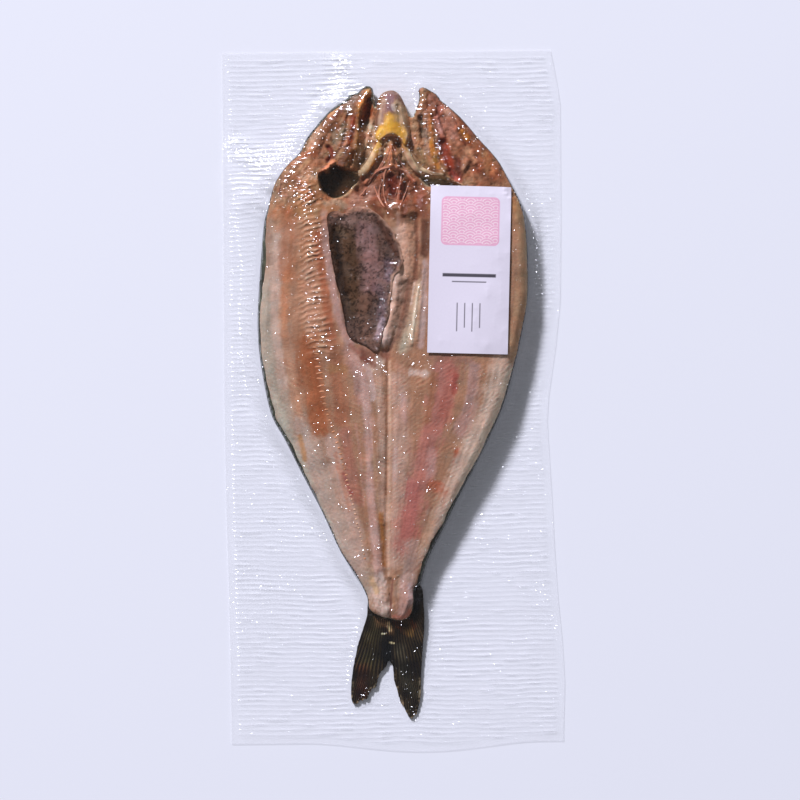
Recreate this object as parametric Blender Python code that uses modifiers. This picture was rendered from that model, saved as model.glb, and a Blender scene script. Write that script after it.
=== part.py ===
"""Vacuum-packed dried atka mackerel, opened flat from the back, in a clear sealed bag with a paper label.

The fish lies skin down with its head towards +Y. The bag is sucked down over it, so its upper face carries the
fish's form: two fillets either side of a seam, the empty belly, the split head with the lower jaw between its
halves, and the forked tail. Sizes are in millimetres and MM turns them into Blender's metres. The origin is the
middle of the bag's footprint, on the surface it lies on.
"""

import math

import bmesh
import bpy
import numpy as np

MM = 0.001

# The bag: two plies of film sealed round the edge.
BAG_HALF_WIDTH = 89.5
BAG_HALF_LENGTH = 186.0
SKIRT_THICKNESS = 0.8
SIDE_NOTCH = {"y": -16.0, "depth": 7.5, "half_length": 75.0}
FOOT_WAVE = {"x": 14.0, "rise": 5.0, "half_width": 62.0}
FILM_PULL = 0.30  # how hard the vacuum draws the film down, as its curvature where nothing holds it up
FILM_CELL = 1.5
FILM_ROUNDS = 220
FILM_EASING = 4  # rounds that soften the film's bends over sharp edges

# The fish's outline, clockwise from the left tip of the snout.
LEFT_FLANK = [
    (-13, 166), (-23, 159.5), (-32.5, 152), (-46.5, 135.5), (-56.5, 124.5), (-61, 116.5), (-64, 106),
    (-67.5, 94.5), (-69, 80), (-71, 54), (-71.5, 38), (-70, 19.5), (-65, -6), (-57.5, -20.5), (-49.5, -37),
    (-38.5, -58.5), (-29, -79.5), (-21, -92), (-15.5, -103), (-14, -110), (-16.5, -118), (-20.5, -130),
    (-23.5, -145), (-24.3, -155), (-23.3, -161),
]  # fmt: skip
TAIL_FORK = [(-16.6, -158), (-11, -152), (-6.2, -141.2), (-3.5, -139.4), (-1.4, -149.7), (2.1, -160.7), (7.7, -169)]
RIGHT_FLANK = [
    (18, 165.5), (26.5, 157.5), (39.5, 144.5), (49, 135), (56, 126.5), (61.5, 116.5), (68, 103), (70.5, 91),
    (71.5, 72), (71, 52), (67.5, 33.5), (64.5, 20.5), (58.5, -0.5), (51.5, -17), (43, -34), (34, -50.5),
    (25.5, -67.5), (17, -84), (13, -97), (13.8, -109), (14.6, -121), (13.2, -142), (12.5, -157), (10.4, -166),
]  # fmt: skip
FACE = [
    (14, 164), (15, 160), (13.9, 154.4), (11.6, 149), (8.3, 154.4), (5.5, 160), (0.3, 163.3), (-5.5, 161),
    (-8, 156.5), (-9.5, 161), (-10, 165),
]  # fmt: skip
OUTLINE_STEP = 1.5

# Heights along the fish, from snout to tail, of its crown and of the edge of its flank.
CROWN = [(166, 9), (152, 14), (125, 17.5), (90, 18), (30, 17.5), (-30, 16), (-80, 13), (-104, 11.5), (-114, 7), (-168, 4)]
FLANK_EDGE = [(166, 6), (140, 8), (90, 10), (0, 10), (-60, 8.5), (-104, 7), (-114, 5), (-168, 3)]
FLANK_ROUND = 15.0  # how far in from its edge a flank reaches its crown
FIN_TOP = -112.0  # where the flesh stops and the tail fin starts

# What the knife and the gutting left open.
SEAM = [(-4.5, 27), (-3.8, -10), (-4.1, -50), (-5.5, -92), (-5, -106)]
SEAM_DEPTH, SEAM_REACH = 5.5, 11.0
BELLY = [
    (-34.5, 101), (-24.5, 105), (-10.5, 103), (-4, 88), (-4.5, 66), (-8.5, 47), (-9, 34), (-5, 26), (-13, 25),
    (-22, 29.5), (-27, 38), (-30, 54), (-33, 70), (-35, 87),
]  # fmt: skip
BELLY_FLOOR, BELLY_SLOPE = 5.5, 9.0
MOUTH = [
    (-9.5, 161), (-15.5, 155), (-17.5, 145), (-18, 134), (-21, 123), (-20, 108), (0, 101), (16, 106), (26, 114),
    (22, 127), (19.5, 141), (17, 150), (14.5, 158), (5, 165),
]  # fmt: skip
MOUTH_FLOOR, MOUTH_SLOPE = 7.0, 6.0
GILL_SLITS = [
    [(-39.5, 115), (-36.8, 120), (-31, 124), (-24, 121), (-19, 117.5), (-21, 112.5), (-27.5, 108), (-34, 107)],
    [(14.5, 118), (20, 118.5), (30, 114), (34, 109), (24, 110.5), (17, 114)],
]
GILL_FLOOR, GILL_SLOPE = 2.5, 3.5

# What stands up inside: each ridge follows a line, with its height above what it lies on and its half width.
RIDGES = {
    "lower_jaw": ([(0, 161), (0, 152), (0, 144), (0, 136)], 6.0, 10.0),
    "left_jaw_arm": ([(-4, 146), (-7, 137), (-9.7, 130.5), (-13, 125), (-17, 118)], 3.5, 4.0),
    "right_jaw_arm": ([(4.5, 146), (7, 135.5), (10, 128), (13.5, 123), (13.5, 117)], 3.5, 4.0),
    "throat": ([(0, 131), (-1, 120), (1, 108), (6, 100)], 4.5, 8.0),
    "belly_wall": ([(2, 96), (5, 84), (6, 72), (4, 60), (0, 49), (-3, 38), (-4, 28)], 2.5, 7.0),
    "rib_bank": ([(-46, 112), (-44, 103), (-42, 90), (-42, 66), (-41, 44), (-38, 30)], 2.0, 9.0),
    "left_tail_lobe": ([(-9, -92), (-9.5, -102), (-8.5, -109)], 2.0, 6.0),
    "right_tail_lobe": ([(4.5, -97), (4.5, -105), (2.5, -111)], 2.0, 6.0),
}

# The bag's surface is a grid whose columns follow the flanks: (last y, spacing) from the foot to the head.
ROW_SPANS = [(-172, 3.5), (-94, 2.6), (98, 4.2), (168, 2.6), (186, 3.6)]
COLUMNS_ON_FISH = 26
FILM_FALL = (3.0, 6.5, 11.0)  # columns beside the fish, where the film comes down to the table
SKIRT_COLUMNS = 2

# The label, stuck on the bag over the right fillet.
LABEL_SIZE = (42.3, 88.0)
LABEL_CENTRE = (40.3, 68.2)
LABEL_TURN = math.radians(-1.9)
LABEL_CELLS = (12, 24)
LABEL_THICKNESS = 0.25
LABEL_GAP = 0.5  # clear of the film, whose flat facets the label's don't match
LABEL_STIFFNESS = 40  # rounds of stiffening: paper spans what the film sinks into


def smooth_line(points, step, closed=False):
    """Points every step along a Catmull-Rom curve through the given ones."""
    p = np.array(points, float)
    ahead = np.vstack([p[-1:], p, p[:2]]) if closed else np.vstack([2 * p[0] - p[1], p, 2 * p[-1] - p[-2]])
    t = np.linspace(0, 1, 12, endpoint=False)[:, None]
    p0, p1, p2, p3 = (ahead[k : len(ahead) - 3 + k, None] for k in range(4))
    dense = 0.5 * (2 * p1 + (p2 - p0) * t + (2 * p0 - 5 * p1 + 4 * p2 - p3) * t**2 + (3 * p1 - p0 - 3 * p2 + p3) * t**3)
    dense = np.vstack([dense.reshape(-1, 2), p[:1] if closed else p[-1:]])
    along = np.concatenate([[0], np.cumsum(np.linalg.norm(np.diff(dense, axis=0), axis=1))])
    even = np.linspace(0, along[-1], max(2, round(along[-1] / step) + 1))
    return np.column_stack([np.interp(even, along, dense[:, k]) for k in range(2)])


def distance_to(x, y, line):
    """Distance from each point to a polyline."""
    nearest = np.full(np.shape(x), np.inf)
    for (ax, ay), (bx, by) in zip(line[:-1], line[1:]):
        dx, dy = bx - ax, by - ay
        t = np.clip(((x - ax) * dx + (y - ay) * dy) / (dx * dx + dy * dy), 0, 1)
        nearest = np.minimum(nearest, np.hypot(x - ax - t * dx, y - ay - t * dy))
    return nearest


def depth_inside(x, y, loop):
    """Distance from each point to a closed polyline, positive inside it and negative outside."""
    inside = np.zeros(np.shape(x), bool)
    for (ax, ay), (bx, by) in zip(loop[:-1], loop[1:]):
        if ay != by:
            crosses = (ay > y) != (by > y)
            inside ^= crosses & (x < ax + (y - ay) * (bx - ax) / (by - ay))
    return np.where(inside, 1, -1) * distance_to(x, y, loop)


def ease(t):
    """0 below 0, 1 above 1, and a smooth rise between them."""
    t = np.clip(t, 0, 1)
    return t * t * (3 - 2 * t)


def hump(distance, reach):
    """1 on a line, falling smoothly to 0 at reach from it."""
    return np.clip(1 - (distance / reach) ** 2, 0, 1) ** 2


def along_fish(y, stations):
    """A value given at stations from snout to tail, at each y."""
    ys, values = zip(*sorted(stations))
    return np.interp(y, ys, values)


def fish_outline():
    loop = LEFT_FLANK + TAIL_FORK + RIGHT_FLANK[::-1] + FACE
    return smooth_line(loop, OUTLINE_STEP, closed=True)


def fish_top(x, y):
    """Height of the opened fish's upper face, and 0 beside it."""
    depth = depth_inside(x, y, fish_outline())
    crown, edge = along_fish(y, CROWN), along_fish(y, FLANK_EDGE)
    rise = np.sin(np.pi / 2 * np.clip(depth / FLANK_ROUND, 0, 1))
    top = np.where(y > FIN_TOP, edge + (crown - edge) * rise, crown)
    seam = distance_to(x, y, smooth_line(SEAM, OUTLINE_STEP))
    top = top - SEAM_DEPTH * hump(seam, SEAM_REACH)
    hollows = [(BELLY, BELLY_FLOOR, BELLY_SLOPE), (MOUTH, MOUTH_FLOOR, MOUTH_SLOPE)]
    hollows += [(slit, GILL_FLOOR, GILL_SLOPE) for slit in GILL_SLITS]
    for border, floor, slope in hollows:
        share = ease(depth_inside(x, y, smooth_line(border, OUTLINE_STEP, closed=True)) / slope)
        top = top + (np.minimum(floor, top) - top) * share
    for line, height, reach in RIDGES.values():
        top = top + height * hump(distance_to(x, y, smooth_line(line, OUTLINE_STEP)), reach)
    return np.where(depth > 0, top, 0)


def blurred(z):
    """Each cell's height as the mean of its four neighbours', with the border held."""
    mean = z.copy()
    mean[1:-1, 1:-1] = (z[:-2, 1:-1] + z[2:, 1:-1] + z[1:-1, :-2] + z[1:-1, 2:]) / 4
    return mean


class Film:
    """The upper film as heights on an even grid: a sheet stretched over the fish and drawn down by the vacuum."""

    def __init__(self):
        self.x = np.arange(-BAG_HALF_WIDTH - FILM_CELL, BAG_HALF_WIDTH + 2 * FILM_CELL, FILM_CELL)
        self.y = np.arange(-BAG_HALF_LENGTH - FILM_CELL, BAG_HALF_LENGTH + 2 * FILM_CELL, FILM_CELL)
        x, y = np.meshgrid(self.x, self.y)
        support = np.maximum(fish_top(x, y), SKIRT_THICKNESS)
        self.z = np.maximum(support, support.max() * (depth_inside(x, y, fish_outline()) > -FILM_FALL[-1]))
        for _ in range(FILM_ROUNDS):
            self.z = np.maximum(blurred(self.z) - FILM_PULL * FILM_CELL**2 / 4, support)
        for _ in range(FILM_EASING):
            self.z = blurred(self.z)

    def at(self, x, y, z=None):
        """Height at any points, between the grid's by straight lines."""
        z = self.z if z is None else z
        u = np.clip((x - self.x[0]) / FILM_CELL, 0, len(self.x) - 1.001)
        v = np.clip((y - self.y[0]) / FILM_CELL, 0, len(self.y) - 1.001)
        i, j = u.astype(int), v.astype(int)
        s, t = u - i, v - j
        low = z[j, i] * (1 - s) + z[j, i + 1] * s
        high = z[j + 1, i] * (1 - s) + z[j + 1, i + 1] * s
        return low * (1 - t) + high * t

    def stiffened(self):
        """The same heights as a stiffer sheet takes them: it lies on the film and bridges its hollows."""
        z = self.z
        for _ in range(LABEL_STIFFNESS):
            z = np.maximum(blurred(z), self.z)
        return z


def bag_right_edge(y):
    """The bag's right edge, drawn in at one place where the film puckered."""
    away = (y - SIDE_NOTCH["y"]) / SIDE_NOTCH["half_length"]
    return BAG_HALF_WIDTH - SIDE_NOTCH["depth"] * np.exp(-3 * away**2)


def foot_drop(x):
    """How far above its lowest point the bag's foot lies."""
    away = (x - FOOT_WAVE["x"]) / FOOT_WAVE["half_width"]
    return FOOT_WAVE["rise"] * (1 - hump(away, 1.0))


def bag_rows():
    """Rows of the bag's grid from foot to head."""
    rows = [-BAG_HALF_LENGTH]
    for end, spacing in ROW_SPANS:
        count = max(1, round((end - rows[-1]) / spacing))
        rows += list(np.linspace(rows[-1], end, count + 1)[1:])
    return np.array(rows)


def bag_columns(y):
    """Positions across the bag at one row: skirt, film coming down, fish, and the same again."""
    left = np.interp(y, *zip(*[(b, a) for a, b in LEFT_FLANK[::-1]]))
    right = np.interp(y, *zip(*[(b, a) for a, b in RIGHT_FLANK[::-1]]))
    fall = np.array(FILM_FALL)
    left_skirt = np.linspace(-BAG_HALF_WIDTH, left - fall[-1], SKIRT_COLUMNS + 1)[:-1]
    right_skirt = np.linspace(right + fall[-1], bag_right_edge(y), SKIRT_COLUMNS + 1)[1:]
    on_fish = np.linspace(left, right, COLUMNS_ON_FISH + 1)
    return np.concatenate([left_skirt, left - fall[::-1], on_fish, right + fall, right_skirt])


def make_material(name, colour, roughness, alpha=1.0):
    material = bpy.data.materials.new(name)
    material.use_nodes = True
    shader = material.node_tree.nodes["Principled BSDF"]
    shader.inputs["Base Color"].default_value = (*colour, 1)
    shader.inputs["Roughness"].default_value = roughness
    shader.inputs["Metallic"].default_value = 0.0
    shader.inputs["Alpha"].default_value = alpha
    return material


def new_grid(name, columns, rows, collection):
    """A primitive grid of that many points each way, numbered row by row from its low corner."""
    bpy.ops.mesh.primitive_grid_add(x_subdivisions=columns - 1, y_subdivisions=rows - 1, size=1)
    grid = bpy.context.object
    grid.name = grid.data.name = name
    for owner in list(grid.users_collection):
        owner.objects.unlink(grid)
    collection.objects.link(grid)
    return grid


def set_points(obj, x, y, z):
    """Moves a grid's points, given in millimetres, row by row."""
    points = np.column_stack([np.ravel(x), np.ravel(y), np.ravel(z)]) * MM
    obj.data.vertices.foreach_set("co", points.astype(np.float32).ravel())
    obj.data.update()


def close_below(obj):
    """Drops a wall from the grid's rim to the table and closes it with one flat face."""
    mesh = bmesh.new()
    mesh.from_mesh(obj.data)
    rim = [e for e in mesh.edges if e.is_boundary]
    made = bmesh.ops.extrude_edge_only(mesh, edges=rim)["geom"]
    for vertex in (g for g in made if isinstance(g, bmesh.types.BMVert)):
        vertex.co.z = 0
    bmesh.ops.contextual_create(mesh, geom=[e for e in mesh.edges if e.is_boundary])
    bmesh.ops.recalc_face_normals(mesh, faces=mesh.faces)
    mesh.to_mesh(obj.data)
    mesh.free()


def make_bag(film, collection):
    """The sealed bag as one solid: the film's upper face over the fish and the table's plane below."""
    rows = bag_rows()
    x = np.array([bag_columns(y) for y in rows])
    y = np.repeat(rows[:, None], x.shape[1], axis=1)
    z = film.at(x, y)
    below_tail = ease((y - ROW_SPANS[0][0] - FOOT_WAVE["rise"]) / (-BAG_HALF_LENGTH - ROW_SPANS[0][0]))
    bag = new_grid("bag", x.shape[1], x.shape[0], collection)
    set_points(bag, x, y + foot_drop(x) * below_tail, z)
    close_below(bag)
    bag.data.shade_smooth()
    bag.data.set_sharp_from_angle(angle=math.radians(50))
    bag.data.materials.append(make_material("clear_film_over_fish", (0.42, 0.25, 0.17), 0.25))
    return bag


def make_label(film, collection):
    """The label: a thin sheet that spans the right fillet, clear of the film all over."""
    u, v = np.meshgrid(*(np.linspace(-0.5, 0.5, n + 1) for n in LABEL_CELLS))
    u, v = u * LABEL_SIZE[0], v * LABEL_SIZE[1]
    x = LABEL_CENTRE[0] + u * math.cos(LABEL_TURN) - v * math.sin(LABEL_TURN)
    y = LABEL_CENTRE[1] + u * math.sin(LABEL_TURN) + v * math.cos(LABEL_TURN)
    label = new_grid("label", x.shape[1], x.shape[0], collection)
    set_points(label, x, y, film.at(x, y, film.stiffened()) + LABEL_GAP)
    wall = label.modifiers.new("thickness", "SOLIDIFY")
    wall.thickness = LABEL_THICKNESS * MM
    wall.offset = 1
    label.data.materials.append(make_material("label_paper", (0.80, 0.78, 0.84), 0.5))
    return label


def main():
    for obj in list(bpy.data.objects):
        bpy.data.objects.remove(obj)
    collection = bpy.data.collections.new("dried_atka_mackerel")
    bpy.context.scene.collection.children.link(collection)
    film = Film()
    make_bag(film, collection)
    make_label(film, collection)


main()
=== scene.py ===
import math

import bmesh
import bpy
import numpy as np
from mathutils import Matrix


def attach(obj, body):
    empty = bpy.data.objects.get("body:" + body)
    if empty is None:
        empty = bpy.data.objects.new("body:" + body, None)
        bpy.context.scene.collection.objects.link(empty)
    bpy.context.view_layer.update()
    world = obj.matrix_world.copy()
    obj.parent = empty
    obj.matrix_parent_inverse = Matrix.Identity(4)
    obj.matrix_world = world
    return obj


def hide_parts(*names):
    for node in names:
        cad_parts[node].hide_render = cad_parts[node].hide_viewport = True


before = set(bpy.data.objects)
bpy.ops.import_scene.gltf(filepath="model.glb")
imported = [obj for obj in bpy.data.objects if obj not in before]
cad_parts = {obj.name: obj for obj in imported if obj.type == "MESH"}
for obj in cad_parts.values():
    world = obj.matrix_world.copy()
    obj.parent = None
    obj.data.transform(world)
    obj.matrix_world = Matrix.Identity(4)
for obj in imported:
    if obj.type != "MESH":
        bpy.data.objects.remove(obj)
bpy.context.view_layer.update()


# --------------------------------------------------------------------------------------------------
# The opened fish: one slab of salted, dried flesh, cut down the back, gutted and folded out flat with its
# skin down. Both fillets, the shoulders and the head's two halves are one piece: a height over the table
# at every point inside the fish's outline, with its colour laid on as strokes along the same lines.

MM = 0.001  # the pieces' sizes are in millimetres, the lamp's and the camera's in metres
LEFT_FLANK = [
    (-13, 166.4), (-15.6, 164.6), (-17.7, 162.7), (-20.4, 162.5), (-23, 160.7), (-24.6, 158.9),
    (-27.8, 156.8), (-32, 153.7), (-36.3, 149.3), (-40.5, 144.3), (-44.8, 138.6), (-48.6, 131.2),
    (-53.9, 126), (-58.2, 120.8), (-61.4, 115.6), (-63.5, 109.8), (-65.4, 102.5), (-67.5, 94.5),
    (-69, 80), (-71, 54), (-71.5, 38), (-70, 19.5), (-65, -6), (-57.5, -20.5), (-49.5, -37),
    (-38.5, -58.5), (-29, -79.5), (-21, -92), (-15.5, -103),
]  # fmt: skip
TAIL_ROOT = [
    (-14.3, -110.1), (-10.9, -113), (-7, -114.6), (-3.5, -115.2), (-0.7, -116), (3, -116.3),
    (7, -114.5), (9.4, -109.8), (10.6, -99.8),
]  # fmt: skip
RIGHT_FLANK = [
    (17.5, 165.5), (20.2, 163.9), (24.3, 161.5), (26.4, 158.3), (30.6, 154.9), (36.6, 149.3),
    (42.5, 142.4), (46.7, 137.3), (56, 126.5), (61.5, 116.5), (68, 103), (70.5, 91), (71.5, 72),
    (71, 52), (67.5, 33.5), (64.5, 20.5), (58.5, -0.5), (51.5, -17), (43, -34), (34, -50.5),
    (25.5, -67.5), (17, -84), (13, -97),
]  # fmt: skip
FACE = [
    (14.6, 164.2), (15.1, 161.1), (14.6, 157.4), (12.7, 152.2), (11.3, 149), (8.5, 151.7), (5.3, 155.9),
    (1.2, 159.6), (-4.1, 159.2), (-7.6, 154.5), (-8.6, 158.7), (-9.3, 164), (-10.3, 165.8),
]  # fmt: skip
# heights and widths from snout to tail, as (place along the fish, value)
CROWN = [
    (166, 9), (152, 11), (125, 13), (95, 15.5), (30, 16.5), (-30, 14.8), (-80, 11.8), (-104, 9.8),
    (-116, 7),
]  # fmt: skip
FLANK_EDGE = [(166, 6), (140, 8), (90, 10.5), (0, 11), (-60, 9.5), (-104, 8), (-116, 6)]
FLANK_ROUND = [(166, 4), (120, 5), (0, 5.5), (-60, 4.5), (-104, 3.5), (-116, 3)]
LEFT_LIP = [
    (166, 0.9), (158, 1.4), (150, 1.1), (140, 1.0), (130, 0.8), (122, 0.5), (112, 0.4), (103, 0.9),
    (92, 1.5), (79, 2.4), (71, 2.9), (60, 2.4), (53, 1.8), (32, 1.7), (0, 2.0), (-21, 2.4), (-31, 2.0),
    (-47, 1.6), (-60, 0.8), (-101, 0.6), (-116, 0.4),
]  # fmt: skip
RIGHT_LIP = [
    (166, 0.5), (100, 0.6), (16, 0.7), (0, 1.0), (-40, 1.2), (-60, 1.6), (-75, 2.2), (-90, 2.4),
    (-97, 1.6), (-116, 0.4),
]  # fmt: skip
FLESH_STEP = 0.65
FLESH_FLOOR = 1.5
FLESH_SHRINKAGE = 0.5

SEAM = [(-4.5, 27), (-3.8, -10), (-4.1, -50), (-5.5, -92), (-5, -106)]
SEAM_DEPTH, SEAM_REACH = 1.3, 5.2
BELLY = [
    (-34.2, 98.5), (-23.6, 101), (-11, 99.8), (-3.7, 95), (2, 84.4), (4.5, 72.8), (0.7, 64.4),
    (-1, 52.9), (-2.7, 42.4), (-5.4, 32.9), (-8.1, 25.6), (-14.4, 27.8), (-21.2, 30.5), (-25.9, 38.4),
    (-28.9, 53.2), (-31.9, 70.6), (-33.8, 87.4),
]  # fmt: skip
BELLY_FLOOR, BELLY_SLOPE = 13.8, 5.5
MOUTH = [
    (-9.5, 161), (-15.5, 155), (-17.5, 145), (-18, 134), (-21, 123), (-20, 108), (0, 101), (16, 106),
    (26, 114), (22, 127), (19.5, 141), (17, 150), (14.5, 158), (5, 165),
]  # fmt: skip
MOUTH_FLOOR, MOUTH_SLOPE = 8.0, 5.0
GILL_SLITS = [
    [
        (-38.7, 118.5), (-36.1, 120.8), (-33.4, 121.6), (-30.8, 125), (-28.1, 123.9), (-23.9, 122.3),
        (-20.3, 121.5), (-17.1, 119.3), (-18.2, 114.1), (-21.4, 109.9), (-24.6, 107.3), (-28.3, 106),
        (-32, 106.6), (-35.1, 109), (-37.7, 112.7),
    ],
    [(14.9, 118.2), (20.2, 118.4), (27, 117.8), (33.3, 115.1), (37, 111.4), (25.4, 111), (17.5, 113.7)],
]
GILL_FLOOR, GILL_SLOPE = 2.5, 1.8
RIB_BANK = [(-46, 113), (-44, 103), (-42, 90), (-42, 66), (-41, 44), (-38, 30)]
RIB_BANK_REACH = 11.0
RIB_PITCH, RIPPLE_HEIGHT = 2.85, 0.85
FIBRE_PITCH, FIBRE_HEIGHT = 2.3, 0.12
FIBRES_END = 28  # the fibres show only on the tail's side of this
TORN_WALL = [(6.8, 92.3), (10.2, 68.5), (3.5, 31.8)]  # the belly's right wall
WRINKLE_DEPTH = 0.45
# lines of relief, each as (its points, its height, its reach)
SOFT_RIDGES = {
    "lower jaw's bed": ([(0, 161), (0, 152), (0, 144), (0, 136)], 3.0, 9.0),
    "throat": ([(0, 131), (-1, 120), (1, 108), (6, 100)], 3.4, 8.0),
    "belly wall": ([(8, 96), (9, 84), (9, 72), (4, 60), (2, 49)], 0.5, 6.0),
    "rib bank": (RIB_BANK, 0.6, RIB_BANK_REACH),
    "left tail lobe": ([(-8, -90), (-7, -102), (-6.5, -111)], 0.9, 6.0),
    "right tail lobe": ([(5.5, -97), (5.5, -105), (3.5, -111)], 0.9, 6.0),
}
FINE_RELIEF = {
    "left snout bristles": ([(-10.9, 164), (-13, 160.8), (-15.7, 155.6), (-16.3, 149.8)], 1.8, 1.8),
    "left snout notch": ([(-18.8, 162.5), (-22, 159.4), (-24.1, 156.8)], -1.2, 2.2),
    "left palate pit": ([(-11.5, 158.7), (-12.1, 152.9), (-14.2, 147.2)], -3.2, 2.6),
    "left cheek ridge": ([(-16.8, 156.2), (-17.4, 144.6), (-18.6, 132)], 1.3, 1.7),
    "left spindle": ([(-20, 148.3), (-21.1, 141.5), (-22.8, 135.2)], 1.0, 1.8),
    "left spindle's groove": ([(-22.6, 149.9), (-23.7, 142.5), (-25.4, 135.7)], -0.8, 1.2),
    "left cheek hollow": ([(-29, 144.2), (-29.6, 137.3)], -1.3, 3.5),
    "left cheek": ([(-34.2, 146.9), (-38.5, 138.5), (-42.3, 129.1)], 0.7, 3.2),
    "left tear": ([(-33.3, 133.7), (-31.2, 129.5), (-33.4, 125.8)], -1.6, 1.8),
    "left hinge muscle": ([(-21.2, 132.5), (-23.4, 126.8), (-26.6, 122.1)], 1.5, 3.4),
    "left hinge furrow": ([(-19.1, 132), (-20.8, 125.7), (-23.4, 120.5)], -0.8, 1.0),
    "left torn edge": ([(-38.7, 116.4), (-36.6, 120.6), (-32.9, 122.7), (-30.2, 125.8)], 1.2, 2.0),
    "left palate fold": ([(-10, 146.6), (-11.7, 140.3), (-13.3, 134)], 0.8, 1.6),
    "right snout bone": ([(17, 163.2), (15.9, 155.8), (13.2, 148.5)], 1.2, 2.4),
    "right snout crease": ([(19.6, 160.5), (20, 153.7), (20, 148.4)], -0.9, 1.2),
    "right cheek ridge": (
        [(20, 152.6), (21, 143.1), (22.5, 132.6), (25, 125.2), (27.6, 119.4)], 1.6, 1.7
    ),
    "right palate slit": ([(15.8, 149), (16.3, 143.2), (16.7, 136.9)], -2.4, 1.6),
    "right white lip": ([(17.9, 146.8), (18.3, 139), (19.3, 130.5)], 1.0, 1.3),
    "right cheek crease": ([(24.8, 154.7), (24.2, 146.3), (26.2, 137.8)], -0.9, 1.5),
    "right cheek wound": ([(27.2, 135.7), (28.7, 129.4), (30.8, 123), (33.3, 117.2)], -2.4, 2.8),
    "right cheek muscle": ([(27.9, 152.5), (31.5, 145.1), (35.1, 137.7)], 0.9, 3.6),
    "right gill cover": ([(37.3, 143), (43.5, 134.5), (49.7, 122.8)], 0.6, 3.6),
    "right cheek bones": ([(36.1, 133.5), (40.3, 127.7), (38.1, 120.9)], 1.2, 1.8),
    "hollow under the tongue": ([(-2.8, 135), (-0.1, 135.5), (3.5, 134.9)], -3.0, 4.2),
    "tendon": ([(-0.1, 137), (0.1, 130.7), (0.3, 123.4)], 2.0, 1.7),
    "left arch's bed": ([(-4.3, 137.1), (-7.5, 130.8), (-11.3, 125.1), (-16.1, 119.8)], 2.4, 3.4),
    "right arch's bed": ([(5.1, 137), (8.2, 129.6), (11.3, 123.2), (17.6, 119.5)], 2.4, 3.2),
    "throat arch": ([(-13.5, 115.1), (-8.2, 120.8), (0.3, 123.4), (7.1, 120.7), (11.8, 115.3)], 1.4, 1.6),
    "throat hollow": ([(-0.8, 117.6), (1.2, 109.1)], -2.4, 3.4),
    "throat side hollow": ([(-3.6, 103.9), (0, 97.1)], -1.2, 2.6),
    "throat right flap": ([(5.4, 114.9), (4.3, 108.6), (2.7, 103.9)], 1.5, 1.6),
    "throat left ridge": ([(-6.1, 119.2), (-4.6, 110.8), (-2, 103.4)], 0.9, 1.4),
    "throat right hollow": ([(7.5, 107.5), (6.3, 99.1)], -1.2, 2.0),
    "belly right column": ([(7.8, 93.8), (8.2, 80.1), (7, 66.5)], 0.6, 5.0),
    "belly right groove": ([(13.1, 95.9), (13.5, 79), (11.7, 62.2)], -0.35, 1.8),
    "belly fold": ([(2.3, 69.7), (1.7, 55.5), (-1.1, 43.4), (-4.9, 29.8)], 1.8, 4.2),
    "belly outer crease": ([(7.5, 62.3), (5.3, 49.7), (2, 37.1), (-2.3, 26.6)], -0.5, 1.7),
    "right silver strand": ([(13.8, 60.6), (11.6, 47.5), (9.3, 29.1)], 0.6, 1.0),
    "second strand": ([(16.5, 69.5), (14.8, 52.7), (12.5, 31.7)], 0.5, 1.0),
    "seam": ([(-3.4, 25.6), (-3.7, 0.3), (-4.2, -26), (-4.7, -47)], -0.4, 0.8),
    "seam's lower end": ([(-4.7, -47), (-5.6, -83.8), (-5.2, -95.4)], -0.3, 0.8),
    "seam's left lip": ([(-6.2, 10.9), (-5.9, -15.5), (-6, -47), (-7.1, -75.9)], 0.15, 1.6),
    "seam's right lip": (
        [(-1.9, 20.3), (-2.2, -10.2), (-2.8, -41.8), (-3.4, -73.3), (-4.1, -92.3)], 0.25, 1.4
    ),
    "left inner furrow": ([(-13.2, -10.1), (-10.9, -36.4), (-8.5, -62.8), (-6.1, -83.8)], -0.2, 1.3),
    "left outer furrow": ([(-20.6, -10), (-18.2, -31.1), (-16.8, -52.2), (-14.4, -75.9)], -0.12, 1.2),
    "between the tail lobes": ([(-2.5, -94.4), (-3.2, -104.9), (-3.3, -113.9)], -0.7, 1.3),
    "left lobe's fold": ([(-8.9, -94.3), (-8.4, -103.8), (-7.5, -111.2)], -0.35, 1.0),
    "right lobe's fold": ([(1.7, -93.4), (0.5, -102.8), (3.1, -111.3)], -0.4, 1.0),
    "right lobe's rim": ([(3.2, -98.7), (6.3, -105), (4.1, -112.4)], 0.5, 1.2),
}


def smooth_line(points, step, closed=False):
    """Points every step along a Catmull-Rom curve, the cubic through each point whose slope there is
    parallel to the line between its two neighbours."""
    p = np.array(points, float)
    if closed:
        ahead = np.vstack([p[-1:], p, p[:2]])
    else:
        ahead = np.vstack([2 * p[0] - p[1], p, 2 * p[-1] - p[-2]])
    t = np.linspace(0, 1, 12, endpoint=False)[:, None]
    p0, p1, p2, p3 = (ahead[k : len(ahead) - 3 + k, None] for k in range(4))
    squared, cubed = 2 * p0 - 5 * p1 + 4 * p2 - p3, 3 * p1 - p0 - 3 * p2 + p3
    dense = 0.5 * (2 * p1 + (p2 - p0) * t + squared * t**2 + cubed * t**3)
    dense = np.vstack([dense.reshape(-1, p.shape[1]), p[:1] if closed else p[-1:]])
    along = np.concatenate([[0], np.cumsum(np.linalg.norm(np.diff(dense, axis=0), axis=1))])
    even = np.linspace(0, along[-1], max(2, round(along[-1] / step) + 1))
    return np.column_stack([np.interp(even, along, dense[:, k]) for k in range(p.shape[1])])


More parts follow.
